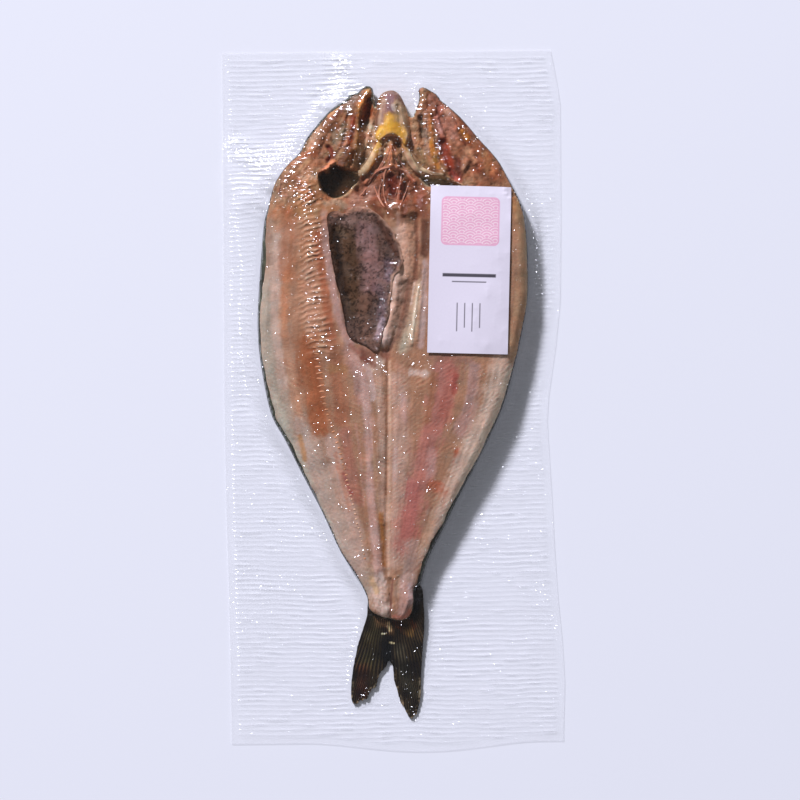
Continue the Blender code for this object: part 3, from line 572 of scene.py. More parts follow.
HEAD_STROKES = [
    # left half
    ([(-16.2, 159.3), (-24.2, 152), (-33.2, 139.5), (-40.7, 126.9)], 13, (146, 100, 78), 0.97),
    ([(-17.2, 161.9), (-22, 158.3)], 3.6, (106, 88, 80), 0.9),
    ([(-21.4, 159.9), (-23.6, 156.7)], 1.6, (106, 98, 96), 0.6),
    ([(-23.6, 155.2), (-27.9, 148.9), (-29, 142.6)], 5, (142, 102, 82), 0.85),
    ([(-26.2, 153.6), (-30, 148.9)], 2.6, (106, 52, 20), 0.8),
    ([(-36.4, 138.5), (-39.6, 131.1), (-42.9, 123.8)], 6, (154, 104, 86), 0.9),
    ([(-20.4, 160.9), (-27.8, 155.2), (-35.3, 147.9), (-41.1, 140.6), (-45.9, 132.3)],
      1.7, (86, 66, 52), 0.8),
    ([(-36.8, 146.4), (-41.7, 139.1), (-44.9, 132.2)], 0.9, (122, 92, 66), 0.7),
    ([(-30.6, 143.1), (-29.6, 136.8)], 2.8, (134, 112, 102), 0.85),
    ([(-20, 148.8), (-20.6, 141.5), (-22.2, 134.6)], 2.2, (126, 54, 22), 0.9),
    ([(-16.7, 156.7), (-17.4, 145.1), (-18.1, 132)], 1.5, (142, 100, 64), 0.85),
    # pinkish tissue with painted glints
    ([(-25.4, 135.2), (-23.3, 132)], 2.2, (172, 118, 110), 0.6),
    ([(-21.7, 132), (-23.9, 126.8), (-27.1, 122.6)], 4.2, (104, 60, 32), 0.9),
    ([(-20.2, 130.9), (-21.8, 123.6)], 1, (160, 88, 44), 0.6),
    ([(-32.8, 133.7), (-30.7, 130), (-33.4, 126.9)], 1.9, (118, 46, 38), 0.85),
    # the torn edge above the left gill: a salmon line, partly its own tone and partly painted glints
    ([(-37.6, 120.6), (-33.9, 122.7), (-30.7, 126.3)], 1.6, (206, 128, 102), 0.7),
    # the palate's pit: dark brown, partly painted shadow of the head's left half
    ([(-11.5, 158.7), (-12.1, 152.9), (-14.2, 147.7)], 3, (120, 56, 22), 0.92),
    ([(-10.9, 163.5), (-13.6, 159.8), (-15.7, 155.6)], 2.2, (204, 134, 78), 0.9),
    ([(-11.4, 164.5), (-12.5, 161.9)], 1, (164, 132, 98), 0.7),
    ([(-14.6, 165.1), (-10.3, 165.6)], 1.8, (56, 56, 42), 0.9),
    ([(-15.8, 147.2), (-15.8, 144.6)], 1.6, (40, 34, 28), 0.85),
    ([(-10.6, 145.6), (-12.2, 138.2), (-13.3, 130.9)], 4.4, (196, 164, 148), 0.95),
    ([(-14.8, 140.4), (-11.7, 138.2)], 2, (196, 148, 138), 0.75),
    ([(-12.6, 146.6), (-10, 143.5)], 1.4, (210, 190, 180), 0.7),
    ([(-13.3, 129.8), (-15, 124)], 2.8, (118, 92, 74), 0.85),
    ([(-8.3, 161.3), (-8.3, 155)], 1.8, (118, 100, 88), 0.9),
    ([(-45.5, 124.4), (-50.3, 119.2), (-55.6, 111.3)], 7, (168, 116, 94), 0.85),
    # painted glints on the shoulder
    ([(-47.1, 117.5), (-40.8, 118.5)], 2, (188, 156, 146), 0.6),
    ([(-58.2, 117.7), (-58.8, 108.7)], 1, (80, 34, 22), 0.7),
    # right half
    ([(20.6, 158.9), (28.9, 148.3), (38.8, 134), (50.7, 119.7)], 14, (148, 96, 78), 0.97),
    ([(17.5, 163.2), (16.4, 155.8), (13.7, 148.5)], 3.4, (150, 114, 96), 0.9),
    ([(22.7, 158.9), (25.3, 154.7)], 3.6, (130, 98, 96), 0.8),
    ([(28.9, 147.3), (32, 139.9)], 4.6, (172, 118, 110), 0.85),
    ([(25.8, 153.6), (24.7, 146.2), (26.2, 137.8)], 3, (150, 88, 80), 0.8),
    ([(26.4, 158.3), (36.3, 148.8), (45.7, 138.1), (52.9, 126)], 1.8, (112, 62, 34), 0.75),
    ([(38.3, 141.9), (41.4, 135.6)], 2, (150, 84, 22), 0.8),
    ([(45.6, 131.3), (51.8, 117.6)], 6, (150, 90, 68), 0.85),
    ([(27.2, 135.7), (28.7, 129.4), (30.8, 123), (33.3, 117.8)], 3.6, (134, 58, 44), 0.92),
    ([(34.5, 126.2), (36.5, 117.7)], 2.6, (88, 24, 16), 0.8),
    ([(31.8, 119.9), (35.9, 114.6)], 2.4, (158, 82, 78), 0.7),
    ([(36.1, 133.5), (39.8, 128.2), (38.1, 121.9)], 2.2, (172, 122, 104), 0.75),
    ([(11.6, 146.4), (13.6, 136.9), (16.1, 126.3)], 4.2, (162, 122, 102), 0.9),
    ([(15.1, 131.6), (17.6, 123.7)], 3, (148, 126, 102), 0.8),
    # a painted lilac highlight on the right palate
    ([(10.4, 140.1), (12, 135.9)], 1.6, (190, 150, 144), 0.6),
    ([(20.5, 150), (21, 142.1), (22.5, 132.6)], 1.3, (184, 118, 72), 0.85),
    ([(20.9, 135.8), (22.4, 128.4), (24.4, 122.1)], 1.7, (166, 110, 50), 0.9),
    ([(24, 131.5), (26.1, 125.2)], 1, (196, 124, 80), 0.7),
    ([(17.9, 146.3), (17.8, 139), (18.8, 131.6)], 1.8, (172, 140, 132), 0.9),
    ([(16.3, 147.9), (16.2, 141.6)], 1, (84, 80, 74), 0.85),
    ([(18.6, 164.7), (20.7, 163.1)], 1.4, (84, 70, 48), 0.8),
    # tissue beside and below the belly lining
    ([(3.1, 89.7), (5, 76.5), (4.4, 63.3), (2.1, 50.2), (-1.2, 37.1)], 4.6, (192, 152, 134), 0.75),
    ([(8.6, 63.3), (6.3, 50.2), (2.5, 36), (-1.8, 26.6)], 1.1, (116, 78, 64), 0.75),
    ([(-16.5, 25.7), (-13.4, 21.4), (-9.8, 18.3)], 2.0, (122, 74, 62), 0.8),
    ([(-22.8, 29.4), (-18.6, 25.7)], 1.8, (154, 98, 86), 0.7),
    ([(-14.5, 18.3), (-11.4, 10.9), (-10.5, 1.4)], 2.2, (194, 164, 160), 0.75),
    ([(-9.2, 23), (-6.1, 19.8)], 1.4, (214, 188, 178), 0.8),
    # paler swellings, partly their own tone and partly painted highlight, and dark furrows of painted
    # shade, over both halves
    ([(-38.5, 141.7), (-42.2, 134.3)], 3.4, (190, 144, 128), 0.85),
    ([(-26.2, 157.3), (-32.6, 150.5)], 2.0, (192, 142, 114), 0.8),
    ([(-25.3, 144.7), (-26.4, 138.4)], 2.2, (150, 134, 120), 0.75),
    ([(-21.5, 154.1), (-24.7, 146.8)], 0.8, (84, 46, 26), 0.85),
    ([(-23.8, 139.4), (-27, 133.1), (-30.2, 127.9)], 0.9, (96, 58, 44), 0.85),
    ([(-31.6, 145.8), (-35.4, 137.4), (-37.5, 132.2)], 0.8, (112, 70, 50), 0.8),
    ([(-48.1, 122.8), (-43.9, 127)], 1.6, (196, 146, 120), 0.8),
    ([(29.5, 152), (34.2, 145.1)], 2.6, (192, 142, 134), 0.85),
    ([(23.7, 148.4), (26.2, 142)], 2.2, (190, 136, 136), 0.85),
    ([(36.8, 141.4), (39.9, 137.7)], 2.0, (182, 118, 34), 0.9),
    ([(23.7, 154.7), (25.8, 146.2), (28.8, 138.3)], 0.8, (92, 50, 40), 0.85),
    ([(32.6, 149.3), (35.7, 142.5), (39.3, 135)], 0.8, (104, 62, 46), 0.8),
    ([(37.7, 136.1), (41.4, 129.8), (45.5, 122.4)], 0.9, (96, 50, 36), 0.85),
    ([(39.8, 132.4), (43.4, 125.5)], 1.9, (198, 144, 122), 0.85),
    ([(48.7, 128.1), (52.8, 120.2)], 3.0, (182, 122, 92), 0.85),
    ([(44.4, 121.8), (48.6, 115.5)], 1.4, (108, 60, 44), 0.7),
]  # fmt: skip


def speckled(x, y, colours, seed):
    """The same colours with a grain: small shares of lightness and of warmth that vary by chance."""
    light = 0.08 * mottle(x, y, 6, seed) + 0.07 * mottle(x, y, 2.2, seed + 1)
    light += 0.04 * mottle(x, y, 0.8, seed + 2)
    light += 0.08 * streak(x, y, 1.2, seed + 5) + 0.06 * streak(x, y, 0.6, seed + 6)
    warm = 0.05 * mottle(x, y, 5, seed + 3) + 0.04 * mottle(x, y, 1.8, seed + 4)
    return np.clip(colours * (1 + light[:, None]) * (1 + warm[:, None] * (1, -0.2, -0.8)), 0.004, 0.95)


# painted light on the rib bank: a highlight on the ripples' crests, and glints on them
RIPPLE_HIGHLIGHT, RIPPLE_GLINT = (226, 184, 160), (250, 226, 204)
GILL_SHADOW, GILL_TISSUE = (52, 42, 30), (176, 154, 136)
# shares of red, green and blue that a detail takes away or adds; the ripples' share is painted
# shade and the fibres' a painted sheen
RIPPLE_SHADE_LOSS, FIBRE_SHEEN_GAIN = (0.06, 0.09, 0.12), (0.04, 0.16, 0.16)
WARMTH_LOSS, THROAT_LOSS = (0.0, 0.30, 0.45), (0.12, 0.22, 0.20)
BODY_GAIN, TORN_LOSS = (0.0, 0.02, 0.11), (0.08, 0.15, 0.26)
flesh = cut_sheet("flesh", flesh_edge, FLESH_STEP, flesh_height, FLESH_FLOOR)
x, y, z = coordinates(flesh)
flesh_tint = brushed(x, y, FLESH_BASE, BODY_STROKES + CAVITY_STROKES + THROAT_STROKES + HEAD_STROKES, 400)

# the rib bank: painted shade between the ripples and a painted highlight on their crests,
# with fibres below it that carry a painted sheen
rippled = rib_ripple(x, y)
between = rib_bank_share(x, y) * (1 - 1.8 * rippled).clip(0, 1)
flesh_tint *= 1 - between[:, None] * RIPPLE_SHADE_LOSS
flesh_tint = laid_over(flesh_tint, albedo(*RIPPLE_HIGHLIGHT), 0.55 * rippled)
flesh_tint *= 1 + fibre_grain(x, y)[:, None] * FIBRE_SHEEN_GAIN

# the gill holes, with painted shade in them: nearly black at the outer end of the left one,
# flesh-coloured at the right one
slit_depths = [depth_inside(x, y, smooth_line(slit, 2, closed=True)) for slit in GILL_SLITS]
gill_depth = np.max(slit_depths, axis=0)
gill_tone = np.tile(albedo(*GILL_SHADOW), (len(x), 1))
gill_tone = laid_over(gill_tone, albedo(*GILL_TISSUE), ease((x + 31) / 12 - (y - 114) / 16))
in_gill = 0.96 * ease((gill_depth + 0.7 + 0.9 * mottle(x, y, 1.8, 46)) / 1.8)
flesh_tint = laid_over(flesh_tint, gill_tone, in_gill)

# the torn tissue of head and throat: painted shade in its creases, lighter and warmer patches, and a
# warmer cast
flesh_tint *= (1 - 0.45 * creased(x, y))[:, None]
torn = ease((y - 88) / 14)
warmth = torn * (0.5 * mottle(x, y, 4.5, 48) + 0.5 * mottle(x, y, 2.0, 49))
flesh_tint *= (1 + torn * (0.24 * mottle(x, y, 3.4, 50) + 0.12 * mottle(x, y, 1.4, 51)))[:, None]
flesh_tint *= 1 - warmth[:, None] * WARMTH_LOSS
flesh_tint *= 1 + (1 - torn[:, None]) * BODY_GAIN - torn[:, None] * TORN_LOSS
flesh_tint *= (1 - 0.09 * ease((-x - 44) / 8) * ease((y + 10) / 30))[:, None]
in_throat = hump(np.hypot(x - 1, y - 112), 17)
flesh_tint *= 1 - in_throat[:, None] * THROAT_LOSS

# painted glints on the ripples' crests
ripple_glints = np.clip(2.2 * mottle(x, y, 1.6, 55) - 0.2, 0, 1) * rippled**2
flesh_tint = laid_over(flesh_tint, albedo(*RIPPLE_GLINT), 0.85 * ripple_glints)
colour_points(flesh, speckled(x, y, flesh_tint, 900))


def shader_node(material, kind, inputs, **settings):
    """A new node with its settings; an input is given either a plain value or another node's output."""
    tree = material.node_tree
    made = tree.nodes.new("ShaderNode" + kind)
    for setting, value in settings.items():
        setattr(made, setting, value)
    for socket, value in inputs.items():
        if isinstance(value, bpy.types.NodeSocket):
            tree.links.new(value, made.inputs[socket])
        else:
            made.inputs[socket].default_value = value
    return made


def grained_material(name, shading, grain, shades, relief):
    """A finish whose colour is the points' tint times a shade, and whose relief follows the same grain:
    shading holds the shader's own values, grain a noise's, shades a range's, and relief a bump's."""
    material = bpy.data.materials.new(name)
    material.use_nodes = True
    links = material.node_tree.links
    shader = material.node_tree.nodes["Principled BSDF"]
    for socket, value in shading.items():
        shader.inputs[socket].default_value = value
    tint = shader_node(material, "Attribute", {}, attribute_name="tint")
    place = shader_node(material, "TexCoord", {}).outputs["Object"]
    noise = shader_node(material, "TexNoise", {"Vector": place, **grain}).outputs["Fac"]
    shade = shader_node(material, "MapRange", {"Value": noise, **shades})
    sides = {0: tint.outputs["Color"], "Scale": shade.outputs["Result"]}
    mixed = shader_node(material, "VectorMath", sides, operation="SCALE")
    bump = shader_node(material, "Bump", {"Height": noise, **relief})
    links.new(mixed.outputs["Vector"], shader.inputs["Base Color"])
    links.new(bump.outputs["Normal"], shader.inputs["Normal"])
    return material


def moist_material(name, roughness, coat, bump_mm, grain_mm):
    """Flesh that keeps its moisture under film: a fine grain in colour and relief, a soft glow of light
    that passes under the surface, and a wet coat over the same relief."""
    shading = {
        "Roughness": roughness,
        "Specular IOR Level": 0.12,
        "Coat Weight": coat,
        "Coat Roughness": 0.2,
        "Subsurface Weight": 0.12,
        "Subsurface Radius": (0.0016, 0.0007, 0.0004),
        "Subsurface Scale": 1.0,
    }
    grain = {"Scale": 1 / (grain_mm * MM), "Detail": 4.0}
    relief = {"Strength": 1.0, "Distance": bump_mm * MM}
    material = grained_material(name, shading, grain, {"To Min": 0.85, "To Max": 1.15}, relief)
    nodes = material.node_tree.nodes
    coat_normal = nodes["Principled BSDF"].inputs["Coat Normal"]
    material.node_tree.links.new(nodes["Bump"].outputs["Normal"], coat_normal)
    return material


flesh_finish = moist_material("moist_flesh", roughness=0.5, coat=0.0, bump_mm=0.22, grain_mm=1.4)
flesh.data.materials.append(flesh_finish)
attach(flesh, "root")
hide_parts("bag")


# --------------------------------------------------------------------------------------------------
# The skin: a dark scaly hide under the whole fish, in one piece with the edge that it turns up round the
# flesh, widest along the left flank, where it shows from above as a dark rim. Two heights over one grid.

SKIN_STEP = 0.85
LIP_FOOT = 0.70  # the lip's outer edge, as a share of the flank's height
SKIN_THICKNESS = 1.2  # top of the skin under the flesh
UNDERSIDE_ROUND, UNDERSIDE_RISE = 5.0, 2.6
SKIN_TONES = {"belly": (186, 180, 162), "flank": (112, 114, 96), "bar": (36, 38, 34)}
LIP_TONE, BLACK_EDGE = (66, 70, 62), (26, 24, 24)


def skin_top(x, y):
    """The turned-up lip: a quarter circle from seven tenths of the flank's height to all of it in its
    first millimetre, falling to a thin sheet once it is under the flesh."""
    depth = depth_inside(x, y, fish_edge)
    flank = along_fish(y, FLANK_EDGE) - FLESH_SHRINKAGE
    rounded = np.sqrt(1 - (1 - np.clip(depth, 0, 1)) ** 2)
    up = flank * (LIP_FOOT + (1 - LIP_FOOT) * rounded) + 0.15 * mottle(x, y, 2, 52)
    return up + (SKIN_THICKNESS - up) * ease((depth - lip_width(x, y) - 0.3) / 0.8)


def skin_under(x, y):
    """The underside: flat on the film, rising in a quarter circle towards the edge."""
    share = np.clip(depth_inside(x, y, fish_edge) / UNDERSIDE_ROUND, 0, 1)
    return 0.3 + UNDERSIDE_RISE * (1 - np.sqrt(1 - (1 - share) ** 2))


def sheet_between(name, loop, step, top, under):
    """A closed piece between two heights over one grid, with a wall on each edge that one face uses."""
    x, y, quads = grid_within(loop, step)
    count = len(x)
    sides = np.stack([quads, np.roll(quads, -1, axis=1)], axis=-1).reshape(-1, 2)
    key = sides.min(axis=1) * count + sides.max(axis=1)
    _, where, uses = np.unique(key, return_index=True, return_counts=True)
    a, b = sides[where[uses == 1]].T
    walls = np.column_stack([a, a + count, b + count, b])
    points = np.vstack([np.column_stack([x, y, top(x, y)]), np.column_stack([x, y, under(x, y)])])
    return linked_piece(name, points, np.vstack([quads, quads[:, ::-1] + count, walls]).tolist(), 60)


skin = sheet_between("skin", fish_edge, SKIN_STEP, skin_top, skin_under)
x, y, z = coordinates(skin)
from_middle = np.abs(across_body(x, y))
bars = ease((0.5 * streak(x, y, 6, 53) + 0.8 * mottle(x, y, 9, 54) + 0.35) / 0.7)
skin_tint = np.tile(albedo(*SKIN_TONES["belly"]), (len(x), 1))
skin_tint = laid_over(skin_tint, albedo(*SKIN_TONES["flank"]), ease((from_middle - 0.30) / 0.3))
in_bars = ease((from_middle - 0.45) / 0.35) * (0.45 + 0.55 * bars)
skin_tint = laid_over(skin_tint, albedo(*SKIN_TONES["bar"]), in_bars)
from_edge = depth_inside(x, y, fish_edge)
rim = (z > 1.0) * ease((2.6 - from_edge) / 0.8) * (from_middle > 0.6)
grey_green = albedo(*LIP_TONE) * (1 + 0.4 * mottle(x, y, 3, 55))[:, None]
skin_tint = laid_over(skin_tint, grey_green, 0.9 * rim)
skin_tint = laid_over(skin_tint, albedo(*BLACK_EDGE), 0.9 * rim * ease((0.7 - from_edge) / 0.6))
colour_points(skin, skin_tint)


def scaly_material(name):
    """Fish skin: dark bars by chance over its tint, small scales as cells in relief, and a wet gloss."""
    shading = {"Roughness": 0.32, "Coat Weight": 0.4, "Coat Roughness": 0.15}
    shades = {"From Min": 0.3, "From Max": 0.7, "To Min": 0.45, "To Max": 1.35}
    relief = {"Strength": 0.8, "Distance": 0.25 * MM}
    material = grained_material(name, shading, {"Scale": 90.0, "Detail": 5.0}, shades, relief)
    nodes = material.node_tree.nodes
    place = nodes["Texture Coordinate"].outputs["Object"]
    scales = shader_node(material, "TexVoronoi", {"Vector": place, "Scale": 600.0})
    material.node_tree.links.new(scales.outputs["Distance"], nodes["Bump"].inputs["Height"])
    return material


skin.data.materials.append(scaly_material("scaly_skin"))
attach(skin, "root")


# --------------------------------------------------------------------------------------------------
# Tail fin: two stiff dark lobes of fine bony rays joined by thin web, ragged inside the fork. It is a
# thin sheet that grows out from under the flesh at the tail's root, and its rays stand up as ridges.

TAIL_OUTLINE = [
    (-13.4, -104), (-15.5, -114), (-18, -122), (-20.5, -130), (-23.5, -145), (-24.3, -155),
    (-23.3, -161), (-20, -160), (-16.6, -158), (-14.3, -154.8), (-11, -152), (-9.2, -146),
    (-6.2, -141.2), (-4.4, -139.2), (-2.2, -141.5), (-1.4, -149.7), (0.3, -154.5), (2.1, -160.7),
    (5.7, -167), (7.7, -169), (10.4, -166), (12.5, -157), (12.9, -145), (14, -130), (14.8, -120),
    (14.6, -109), (12.6, -98), (0, -100),
]  # fmt: skip
TAIL_FAN = (-2.5, -82.0)  # where the rays would meet
RAY_ANGLE = math.radians(1.75)
TAIL_THICKNESS = [(-98, 2.4), (-112, 3.2), (-130, 1.8), (-168, 0.9)]  # from its root to its tips
TAIL_STEP, TAIL_FLOOR = 0.42, 0.5
RAY_HEIGHT = 0.3
FORK = [(-16, -160), (-4.4, -139), (4, -166)]
FIN_BASE, BLEACHED_TIP = (40, 34, 28), (170, 150, 130)
FIN_CAST = (1.05, 1.0, 0.82)


def tail_angle(x, y):
    """Each point's bearing from where the rays would meet."""
    return np.arctan2(x - TAIL_FAN[0], TAIL_FAN[1] - y)


def fin_rays(x, y):
    """1 on each bony ray and 0 on the web between, as a wave round the fan, bent by chance and broken up
    towards the tips, where each ray splits in two."""
    angle = tail_angle(x, y) + 0.006 * mottle(x, y, 7, 65)
    whole = 0.5 + 0.5 * np.cos(2 * np.pi * angle / RAY_ANGLE)
    split = 0.5 + 0.5 * np.cos(4 * np.pi * angle / RAY_ANGLE)
    return whole + (split - whole) * ease((-y - 138) / 14)


def tail_height(x, y):
    """The fin thins towards its tips, its two lobes are slightly crowned, and each ray is a ridge."""
    lobes = 0.5 * np.abs(np.sin(2.6 * tail_angle(x, y)))
    thick = along_fish(y, TAIL_THICKNESS) + lobes * ease((-y - 116) / 16)
    return thick + RAY_HEIGHT * fin_rays(x, y) + 0.2 * mottle(x, y, 5, 61)


tail_edge = smooth_line(TAIL_OUTLINE, 0.7, closed=True)
tail_edge[:, 1] += ease((-tail_edge[:, 1] - 120) / 10) * np.abs(mottle(*tail_edge.T, 1.6, 68)) * 1.6
in_fork = hump(distance_to(*tail_edge.T, FORK), 5.0)
web_ends = mottle(tail_angle(*tail_edge.T) * 60, 0 * in_fork, 0.9, 64)
frayed = 0.2 * mottle(*tail_edge.T, 1.6, 62) + 1.1 * in_fork * web_ends
tail_edge[:-1, 1] += frayed[:-1]
tail_edge[-1] = tail_edge[0]
tail_fin = cut_sheet("tail_fin", tail_edge, TAIL_STEP, tail_height, TAIL_FLOOR)
x, y, z = coordinates(tail_fin)
FIN_STROKES = [
    ([(-11.2, -118), (-13.4, -131.1), (-16.2, -146.9)], 6, (58, 52, 40), 0.8),
    ([(-8.6, -116.4), (-4.4, -121.7)], 4, (98, 74, 60), 0.75),
    ([(-5.5, -121.7), (-4.5, -131.2), (-4.1, -138.6)], 4.2, (18, 15, 15), 0.92),
    ([(0.9, -116.5), (7.2, -119.8)], 5.2, (84, 48, 32), 0.85),
    ([(10.6, -98.7), (12.6, -107.2), (12.9, -126.1)], 2.8, (56, 46, 38), 0.8),
    ([(5.1, -118.7), (7.2, -122.9)], 3.2, (92, 72, 48), 0.7),
    ([(-4.4, -118.1), (-3.3, -121.2)], 1.6, (176, 150, 132), 0.8),
    # two short painted glints
    ([(-7.6, -123.3), (-5.5, -123.3)], 0.5, (220, 210, 190), 0.8),
    ([(-3.4, -128.1), (-1.3, -128.6)], 0.5, (220, 210, 190), 0.8),
    ([(-17.3, -142.6), (-18.4, -154.2)], 5, (60, 34, 30), 0.7),
    ([(1.8, -131.3), (5.8, -152.4)], 4, (56, 54, 52), 0.6),
]  # fmt: skip
fin_tint = brushed(x, y, FIN_BASE, FIN_STROKES, 1500)
in_rays = fin_rays(x, y) ** 2 * np.clip(0.6 + 0.7 * mottle(x, y, 5, 63), 0, 1.2)
fin_tint = fin_tint * (0.30 + 2.6 * in_rays)[:, None] * FIN_CAST
at_tips = ease((-y - 145 + 5 * mottle(x, y, 1.2, 67)) / 8)
at_tips *= ease((1.6 - depth_inside(x, y, tail_edge)) / 1.2)
bleached = 0.6 * at_tips * np.clip(2 * mottle(x, y, 1.0, 66), 0, 1)
fin_tint = laid_over(fin_tint, albedo(*BLEACHED_TIP), bleached)
colour_points(tail_fin, speckled(x, y, fin_tint, 950))
fin_finish = moist_material("fin_rays", roughness=0.42, coat=0.15, bump_mm=0.2, grain_mm=1.2)
tail_fin.data.materials.append(fin_finish)
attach(tail_fin, "root")


# --------------------------------------------------------------------------------------------------
# Lower jaw: the uncut chin and tongue, which stand up between the two halves of the head. The chin is a
# smooth dome with a brown lip, the tongue on it is pale, and the skin at its root is bright yellow.

CHIN = [
    (0.2, 163.6), (-3.5, 162.6), (-5.9, 160.2), (-7.3, 156.6), (-8.1, 150.8), (-8.7, 144.5),
    (-8.5, 138.7), (-6.4, 135.5), (-4.3, 137.1), (-2.2, 138.4), (-0.1, 138.9), (2.5, 138.6),
    (4.6, 136.5), (6.7, 133.3), (8.8, 135.4), (10.2, 142.2), (9, 151.1), (6.9, 157), (4.9, 160.9),
    (2.8, 162.8),
]  # fmt: skip
JAW_STEP, JAW_FLOOR = 0.3, 1.2
JAW_RIM, JAW_RISE = 7.5, 4.6
JAW_RELIEF = {
    "tongue": ([(0.1, 157), (-0.1, 140.2)], 0.9, 4.5),
    "hollow behind the lip": ([(0.1, 159.4), (0.1, 158.6)], -0.8, 4.0),
    "left fold": ([(-3.6, 156), (-4.2, 146.6)], -0.5, 1.6),
    "right fold": ([(3.8, 154.9), (5.7, 142.2)], -0.5, 1.6),
}
JAW_BASE = (170, 136, 112)
JAW_STROKES = [
    ([(0.1, 162.6), (-3.6, 161), (-5.7, 157.6)], 2.8, (112, 72, 50), 0.9),
    ([(0.1, 162.6), (3.8, 160.9), (6.4, 157)], 2.6, (120, 78, 56), 0.9),
    ([(-2.5, 160.2), (2.7, 159.6)], 1.6, (124, 72, 46), 0.8),
    ([(-6.8, 156), (-7.9, 147.6), (-8, 142.4)], 1.9, (106, 70, 58), 0.85),
    ([(8.4, 150.6), (10.5, 142.2)], 2.2, (200, 156, 126), 0.85),
    ([(-0.4, 158.6), (0, 152.8)], 4.6, (124, 92, 102), 0.92),
    ([(-3.6, 157.6), (-5, 150.8), (-5.8, 146.6)], 1.9, (172, 144, 134), 0.85),
    ([(-3.6, 155), (-3.7, 147.6)], 2.0, (146, 112, 108), 0.7),
    ([(3.2, 155.4), (5.3, 148.6), (7.8, 140.1)], 3.0, (194, 160, 136), 0.85),
    # a painted highlight on the tongue
    ([(1.1, 154.9), (1.6, 153.3)], 1.4, (232, 222, 230), 0.35),
    ([(0, 148.6), (0, 144.4)], 4.2, (210, 160, 74), 0.92),
    ([(-5.3, 140.8), (-2.7, 143.4), (0, 144.4), (3.1, 143.3), (5.2, 140.7)], 3.6, (216, 158, 62), 0.95),
    ([(-4.3, 141.8), (-6.4, 139.2), (-7.5, 136.1)], 2.8, (224, 174, 86), 0.95),
    ([(4.7, 141.7), (5.7, 138.6), (7.2, 134.3)], 2.0, (196, 142, 60), 0.85),
    ([(-2.7, 145.5), (-1.6, 147.6)], 1.2, (220, 178, 104), 0.8),
    ([(-4.3, 137.1), (-2.2, 138.1), (-0.1, 138.6), (2.5, 138.1), (4.6, 137)], 1.8, (212, 152, 118), 1.0),
    # painted shade in the hollow under the lip
    ([(-2.8, 135.2), (-0.1, 136), (3, 135.2)], 1.0, (120, 60, 34), 0.9),
]  # fmt: skip


def jaw_height(x, y):
    """A dome over the chin's outline, a quarter sine that is short at its root, with a ridge for the
    tongue, a hollow behind the lip and a fold along each side of the tongue."""
    depth = depth_inside(x, y, chin_edge)
    roll = 5.0 - 3.6 * ease((144 - y) / 5)
    top = JAW_RIM + JAW_RISE * np.sin(np.pi / 2 * np.clip(depth / roll, 0, 1))
    for line, height, reach in JAW_RELIEF.values():
        top = top + height * hump(distance_to(x, y, line), reach)
    return top + 0.16 * mottle(x, y, 2.0, 71)


chin_edge = smooth_line(CHIN, 0.8, closed=True)
lower_jaw = cut_sheet("lower_jaw", chin_edge, JAW_STEP, jaw_height, JAW_FLOOR)
x, y, z = coordinates(lower_jaw)
colour_points(lower_jaw, speckled(x, y, brushed(x, y, JAW_BASE, JAW_STROKES, 1000), 1050))
jaw_finish = moist_material("jaw_skin", roughness=0.4, coat=0.12, bump_mm=0.12, grain_mm=1.1)
lower_jaw.data.materials.append(jaw_finish)
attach(lower_jaw, "root")


# --------------------------------------------------------------------------------------------------
# Gill arches: a wishbone of pale gristle that runs back from the tongue's root to a knobbed end on either
# side, with tendons and strands of tissue fanned over the throat. All are tubes swept along their lines.


def swept_tube(path, radii, sides, flat=1.0):
    """Points and faces of a closed tube: a circle at each station of a path, square to it, sized by the
    radius there and squashed in height by flat, with its two ends shut by one face each."""
    path, radii = np.asarray(path, float), np.asarray(radii, float)
    run = np.gradient(path, axis=0)
    run /= np.linalg.norm(run, axis=1)[:, None]
    across = np.cross(run, (0, 0, 1))
    across /= np.linalg.norm(across, axis=1)[:, None]
    over = np.cross(across, run)
    turn = np.linspace(0, 2 * np.pi, sides, endpoint=False)[None, :, None]
    circle = across[:, None] * np.cos(turn) + over[:, None] * flat * np.sin(turn)
    points = (path[:, None] + circle * radii[:, None, None]).reshape(-1, 3)
    start = np.arange(len(path) - 1)[:, None] * sides
    here, following = np.arange(sides), np.roll(np.arange(sides), -1)
    ring = [start + here, start + following, start + sides + following, start + sides + here]
    faces = np.stack(ring, axis=-1).reshape(-1, 4).tolist()
    return points, faces + [list(range(sides))[::-1], list(range(len(points) - sides, len(points)))]


def joined_piece(name, parts):
    """One piece from several closed ones, each given as points and faces, all turned outwards."""
    points, faces, start = [], [], 0
    for part_points, part_faces in parts:
        points.append(part_points)
        faces += [[corner + start for corner in face] for face in part_faces]
        start += len(part_points)
    piece = linked_piece(name, np.concatenate(points), faces)
    mesh = bmesh.new()
    mesh.from_mesh(piece.data)
    bmesh.ops.recalc_face_normals(mesh, faces=mesh.faces)
    mesh.to_mesh(piece.data)
    mesh.free()
    return piece


def spread(values, count):
    """A few values along a path as one for each station."""
    return np.interp(np.linspace(0, 1, count), np.linspace(0, 1, len(values)), values)


def lying_on_flesh(line, lift):
    """A path laid on the flesh, whose height is evened out over nine stations, with a lift above it."""
    flat = smooth_line(line, 0.7)
    heights = np.convolve(np.pad(flesh_height(*flat.T), 4, mode="edge"), np.ones(9) / 9, mode="valid")
    return np.column_stack([flat, heights + spread(lift, len(flat))])


